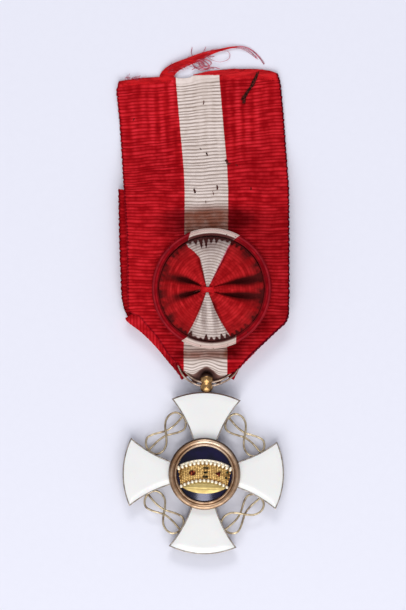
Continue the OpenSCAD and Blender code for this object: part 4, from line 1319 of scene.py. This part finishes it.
# Knots: turn in degrees, hand, how far out its middle lies
knots = [(45, 1, 12.3), (135, -1, 12.3), (225, 1, 12.25), (315, 1, 12.2)]
knot_gold = metal_material("knot_gold", (0.68, 0.56, 0.36, 1), (0.24, 0.17, 0.11, 1), 1.0, 0.26,
                           0.05)
wire_lines, solder_at = [], []
for turned, hand, reach in knots:
    for half_turn in (0, 180):
        line = smooth_line([(hand * u, v, KNOT_Z + lift) for u, v, lift in knot_half], 0.13)
        move = (CROSS @ Matrix.Rotation(math.radians(turned), 4, "Z")
                @ Matrix.Translation((reach * MM, 0, 0))
                @ Matrix.Rotation(math.radians(half_turn - 90), 4, "Z"))
        line = np.array([move @ Vector(p * MM) for p in line]) / MM
        wire_lines.append(line)
        solder_at.append(line[-1])
knot_wires = spin_threads("knots", wire_lines, KNOT_WIRE, knot_gold, "gold", 3)
blobs = []
for at in solder_at:
    bpy.ops.mesh.primitive_uv_sphere_add(segments=16, ring_count=10, radius=SOLDER_R * MM,
                                         location=[v * MM for v in at])
    bpy.context.object.scale = (1.0, 1.0, 0.8)
    bpy.ops.object.transform_apply(location=True, rotation=True, scale=True)
    bpy.ops.object.shade_smooth()
    blobs.append(bpy.context.object)
finish_piece(join_pieces(blobs), "knot_solder", knot_gold, "gold", "cross_frame")
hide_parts("cross_frame")

# Bezel
# A ring of rose gold turned on the lathe: a plain wall, a fat rounded band, a groove and a
# thin inner band that holds the blue enamel.
SEAT_Z = 2.85
SEAT_R = 6.1
bezel_gold = metal_material("bezel_gold", (0.53, 0.36, 0.23, 1), (0.26, 0.14, 0.075, 1), 0.8, 0.30)
tree, shader, worn = reopen(bezel_gold)
place = object_place(tree)
# Painted shadow: the outer wall is dark brown on its upper side.
outside = ring_mask(tree, place, CROSS_AT, 7.68, 9.0, 0.14)
northern = eased_share(tree, place_up(tree), -41.0, -34.0, 0.1, 0.9)
# Painted highlight: the upper part inside the outer wall is paler cream.
north_highlight = eased_share(tree, place_up(tree), -35.5, -31.5, 0.0, 0.45)
north_highlight = times(tree, north_highlight, ring_mask(tree, place, CROSS_AT, 0, 7.35, 0.25))
worn = colour_mix(tree, north_highlight, worn, (0.86, 0.72, 0.57, 1))
# Painted shade: the upper left of the bezel is darker.
north_west = add_node(tree, "VectorMath", {0: place, 1: (-1, 1, 0)},
                      operation="DOT_PRODUCT").outputs["Value"]
north_west = eased_share(tree, north_west, -30.6, -29.0)
worn = colour_mix(tree, north_west, worn, (0.58, 0.47, 0.38, 1), "MULTIPLY")
feed(tree, shader, colour_mix(tree, times(tree, outside, northern), worn,
                              (0.05, 0.028, 0.02, 1)))


def arc_points(centre, r, start, stop, count):
    """Points of an arc as radius and height; angles in degrees, from outwards to upwards."""
    return [(centre[0] + r * math.cos(math.radians(a)), centre[1] + r * math.sin(math.radians(a)))
            for a in np.linspace(start, stop, count)]


profile = ([(SEAT_R, SEAT_Z), (7.86, SEAT_Z), (7.88, SEAT_Z + 0.05), (7.88, SEAT_Z + 0.72)]
           + arc_points((7.24, SEAT_Z + 0.98), 0.6, -18, 152, 15)
           + [(6.66, SEAT_Z + 1.1)]
           + arc_points((6.40, SEAT_Z + 1.05), 0.26, 25, 185, 9)
           + [(6.11, SEAT_Z + 0.8)])
finish_piece(turn_profile(profile, 192), "turned_bezel", bezel_gold, "rose_gold", "bezel")

# Blue enamel
# Clear ultramarine enamel over a bright bed, domed and polished, so dark that only the light
# from the window shows on it.
OPENING_R = 6.05
DOME = 0.4
ENAMEL_EDGE = 0.35
blue_glass, tree, shader = new_material("blue_enamel_glass", Roughness=0.11, IOR=1.5,
                                        Specular_Tint=(0.78, 0.78, 1.0, 1))
place = object_place(tree)
depth = noise(tree, place, 0.4, 3)
feed(tree, shader, colour_mix(tree, eased_share(tree, depth, 0.3, 0.7), (0.0015, 0.0010, 0.010, 1),
                              (0.006, 0.003, 0.035, 1)), height=noise(tree, place, 0.25, 2),
     strength=0.3, distance=0.02 * MM)
dome_r = (SEAT_R ** 2 + DOME ** 2) / (2 * DOME)
top = SEAT_Z + ENAMEL_EDGE + DOME
dome = [(r, top - dome_r + math.sqrt(dome_r ** 2 - r * r)) for r in np.linspace(OPENING_R, 0.01, 18)]
finish_piece(turn_profile([(0.01, SEAT_Z), (OPENING_R, SEAT_Z)] + dome), "blue_enamel", blue_glass,
             "blue_enamel", "medallion")

# Crown
# A circlet of gold raised from the enamel: a grained band between two rows of beads, and a
# smooth lip below. It is set with garnets, dark stones in the middle and green ones at the side.
GRAIN_WIDE, GRAIN_HIGH = 0.38, 0.36
BAR_DEEP = 0.24
# Curved edges: y of the arc's centre from the cross's centre, and its radius
ARC_TOP, ARC_LOW, ARC_LIP = (-9.40, 12.15), (-11.18, 9.78), (6.52, 10.8)
crown_gold = metal_material("crown_gold", (0.98, 0.67, 0.25, 1), (0.60, 0.34, 0.085, 1), 0.6, 0.30,
                            soil=(0.16, 0.06, 0.012, 1))
lip_gold = metal_material("lip_gold", (0.60, 0.46, 0.185, 1), (0.43, 0.30, 0.10, 1), 0.5, 0.40)
bead_gold = metal_material("bead_gold", (0.98, 0.91, 0.74, 1), (0.86, 0.72, 0.48, 1), 0.4, 0.42)


def crown_high(x):
    """Height of the crown's face, which curves down to both sides."""
    return top + 1.0 - 0.95 * np.abs(x / 5.9) ** 3


def on_arc(arc, x, side=1):
    """y of an arc at x, on its upper or lower side."""
    return arc[0] + side * np.sqrt(arc[1] ** 2 - x * x)


u, v = np.meshgrid(np.linspace(-1, 1, 261), np.linspace(0, 1, 101))
x = u * (5.15 + 0.65 * v)
low = on_arc(ARC_LOW, x)
y = low + (on_arc(ARC_TOP, x) - low) * v
swell = 0.16 * np.sin(math.pi * np.clip(v, 0, 1)) ** 0.6
# Grains of gold in rows that follow the curve, each of its own size
grain_x, grain_y = x / GRAIN_WIDE, (y + 0.04 * x * x) / GRAIN_HIGH
grain = (np.abs(np.sin(math.pi * grain_x)) * np.abs(np.sin(math.pi * grain_y))) ** 0.6
scatter = np.sin(np.floor(grain_x) * 12.99 + np.floor(grain_y) * 78.23) * 43758.5
grain *= 0.45 + 0.55 * (scatter - np.floor(scatter))
# Painted shade in the hollows between the grains and along the two bead rows, and the band darker
# towards its ends.
crown_soil = 1.1 * (1 - grain) ** 1.6 + 0.35 * ease((np.abs(x) - 4.3) / 1.2)
crown_soil += 0.5 * ease((v - 0.80) / 0.1) + 0.5 * (1 - ease((v - 0.06) / 0.12))
points = np.stack([x, y, crown_high(x) - 0.24 + swell + 0.10 * grain], -1)
band_plate = raised_plate("crown_band", points, np.zeros(points.shape[:2] + (2,)), 0.55,
                          soil=np.clip(crown_soil, 0, 1))
finish_piece(band_plate, "crown_band", crown_gold, "crown_gold", "crown")

u, v = np.meshgrid(np.linspace(-1, 1, 121), np.linspace(0, 1, 61))
x = u * 4.95
bottom = on_arc(ARC_LIP, x, -1)
above = np.maximum(on_arc(ARC_LOW, x), bottom + 0.05)
y = bottom + (above - bottom) * v
grooves = hill(v, 0.36, 0.045) + hill(v, 0.66, 0.045)
roll = 0.34 * np.sin(math.pi * np.clip(v * 0.9 + 0.05, 0, 1)) ** 0.8
points = np.stack([x, y, crown_high(x) - 0.60 + roll - 0.035 * grooves], -1)
lip = raised_plate("crown_lip", points, np.zeros(points.shape[:2] + (2,)), 0.25)
finish_piece(lip, "crown_lip", lip_gold, "crown_gold", "crown")
rail = []
for x in np.linspace(-5.3, 5.3, 61):
    rail.append(CROSS @ Vector((x * MM, (on_arc(ARC_TOP, x) + 0.30) * MM,
                                float(crown_high(x) - 0.05) * MM)) / MM)
rail = spin_threads("crown_rail", [np.array(rail)], 0.46, bead_gold, "crown_gold", 4)
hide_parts("crown")


def bead_row(name, arc, offset, count, step, size, lift):
    """A row of beads along an arc, a step of degrees apart. size: half-width, half-length out
    from the arc's centre, half-height."""
    beads = []
    for i in range(count):
        a = math.radians(90 + (i - (count - 1) / 2) * step)
        r = arc[1] + offset
        x = r * math.cos(a)
        bpy.ops.mesh.primitive_uv_sphere_add(segments=20, ring_count=12, radius=MM)
        bead = bpy.context.object
        bead.data.transform(Matrix.Diagonal((*size, 1)))
        bead.data.transform(CROSS @ Matrix.Translation((
            x * MM, (arc[0] + r * math.sin(a)) * MM, float(crown_high(x) + lift) * MM))
            @ Matrix.Rotation(a - math.pi / 2, 4, "Z"))
        bpy.ops.object.shade_smooth()
        beads.append(bead)
    return finish_piece(join_pieces(beads), name, bead_gold, "crown_gold", "crown")


bead_row("crown_beads_top", ARC_TOP, -0.12, 14, 4.36, (0.42, 0.60, 0.42), -0.02)
bead_row("crown_beads_low", ARC_LOW, 0.0, 13, 5.15, (0.41, 0.40, 0.39), -0.08)

# Bars of dark stone: place on the crown, half-width, half-height
bars = {"dark_stone_1": (0.3, 1.36, 0.60, 0.19), "dark_stone_2": (0.28, 0.38, 0.46, 0.22),
        "dark_stone_3": (0.2, -0.55, 0.55, 0.20)}


def on_crown(x, y, lift=0.0):
    return CROSS @ Matrix.Translation((x * MM, y * MM, float(crown_high(x) + lift) * MM))


# A collet round the middle bar, and small beads at the crown's ends and beside its bars
x, y, wide, high = bars["dark_stone_2"]
bpy.ops.mesh.primitive_torus_add(location=(0, 0, 0), major_radius=MM, minor_radius=0.12 * MM,
                                 major_segments=40, minor_segments=10)
collets = [bpy.context.object]
collets[0].data.transform(on_crown(x, y) @ Matrix.Diagonal((wide + 0.06, high + 0.08, 0.8, 1)))
bpy.ops.object.shade_smooth()
small_beads = [(5.62, 0.3), (5.45, -0.6), (5.2, -1.5), (-5.6, 0.35), (-5.42, -0.6), (-5.2, -1.5),
               (-0.42, 1.0), (0.98, 1.0), (-0.42, -0.15), (0.9, -0.15), (-0.35, 0.85), (0.3, 0.9)]
for x, y in small_beads:
    bpy.ops.mesh.primitive_uv_sphere_add(segments=16, ring_count=10, radius=0.19 * MM)
    collets.append(bpy.context.object)
    collets[-1].data.transform(on_crown(x, y, -0.02))
    bpy.ops.object.shade_smooth()
finish_piece(join_pieces(collets), "collets", crown_gold, "crown_gold", "crown")


def stone_material(name, dark, light):
    """Cut glass, its colour painted with patches of light that stand in for light coming back through
    it; the rest stays dark.
    """
    made, tree, shader = new_material(name, Roughness=0.12, IOR=1.5, Specular_IOR_Level=0.2)
    light_and_flaw = noise(tree, object_place(tree), 1.7, 2)
    feed(tree, shader, colour_mix(tree, eased_share(tree, light_and_flaw, 0.5, 0.62), dark, light),
         height=light_and_flaw, strength=0.2, distance=0.01 * MM)
    return made


garnet = stone_material("garnet_glass", (0.055, 0.004, 0.002, 1), (0.42, 0.075, 0.02, 1))
dark_stone = stone_material("dark_stone_glass", (0.010, 0.008, 0.003, 1), (0.05, 0.035, 0.012, 1))
green_stone = stone_material("green_stone_glass", (0.004, 0.02, 0.012, 1), (0.02, 0.10, 0.05, 1))
for name in ("green_stone_1", "green_stone_2"):
    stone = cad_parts[name]
    stone.data.materials.clear()
    stone.data.materials.append(green_stone)


def set_stone(name, shape, x, y, cut, paint, slot):
    """Bevels a stone's block into facets and sets it on the crown."""
    shape.data.transform(Matrix.Diagonal((*[v * MM for v in cut], 1)))
    facets = shape.modifiers.new("facets", "BEVEL")
    facets.width = 0.4 * min(cut) * MM
    facets.segments = 1
    bpy.ops.object.modifier_apply(modifier="facets")
    shape.data.transform(on_crown(x, y, -0.04))
    finish_piece(shape, name + "_cut", paint, slot, name)


for name, (x, y, wide, high) in bars.items():
    bpy.ops.mesh.primitive_cube_add(size=2)
    set_stone(name, bpy.context.object, x, y, (wide, high, BAR_DEEP), dark_stone, "dark_stone")
# Garnets: corners, turn, place on the crown, half-sizes
garnets = {"garnet_round": (8, 0.3, -2.65, 0.2, (0.78, 0.62, 0.34)),
           "garnet_three_sided": (3, 1.4, 3.1, 0.15, (0.85, 0.72, 0.34))}
for name, (corners_round, turned, x, y, cut) in garnets.items():
    bpy.ops.mesh.primitive_cylinder_add(vertices=corners_round, radius=1, depth=2,
                                        rotation=(0, 0, turned))
    bpy.ops.object.transform_apply(location=True, rotation=True, scale=True)
    set_stone(name, bpy.context.object, x, y, cut, garnet, "garnet")
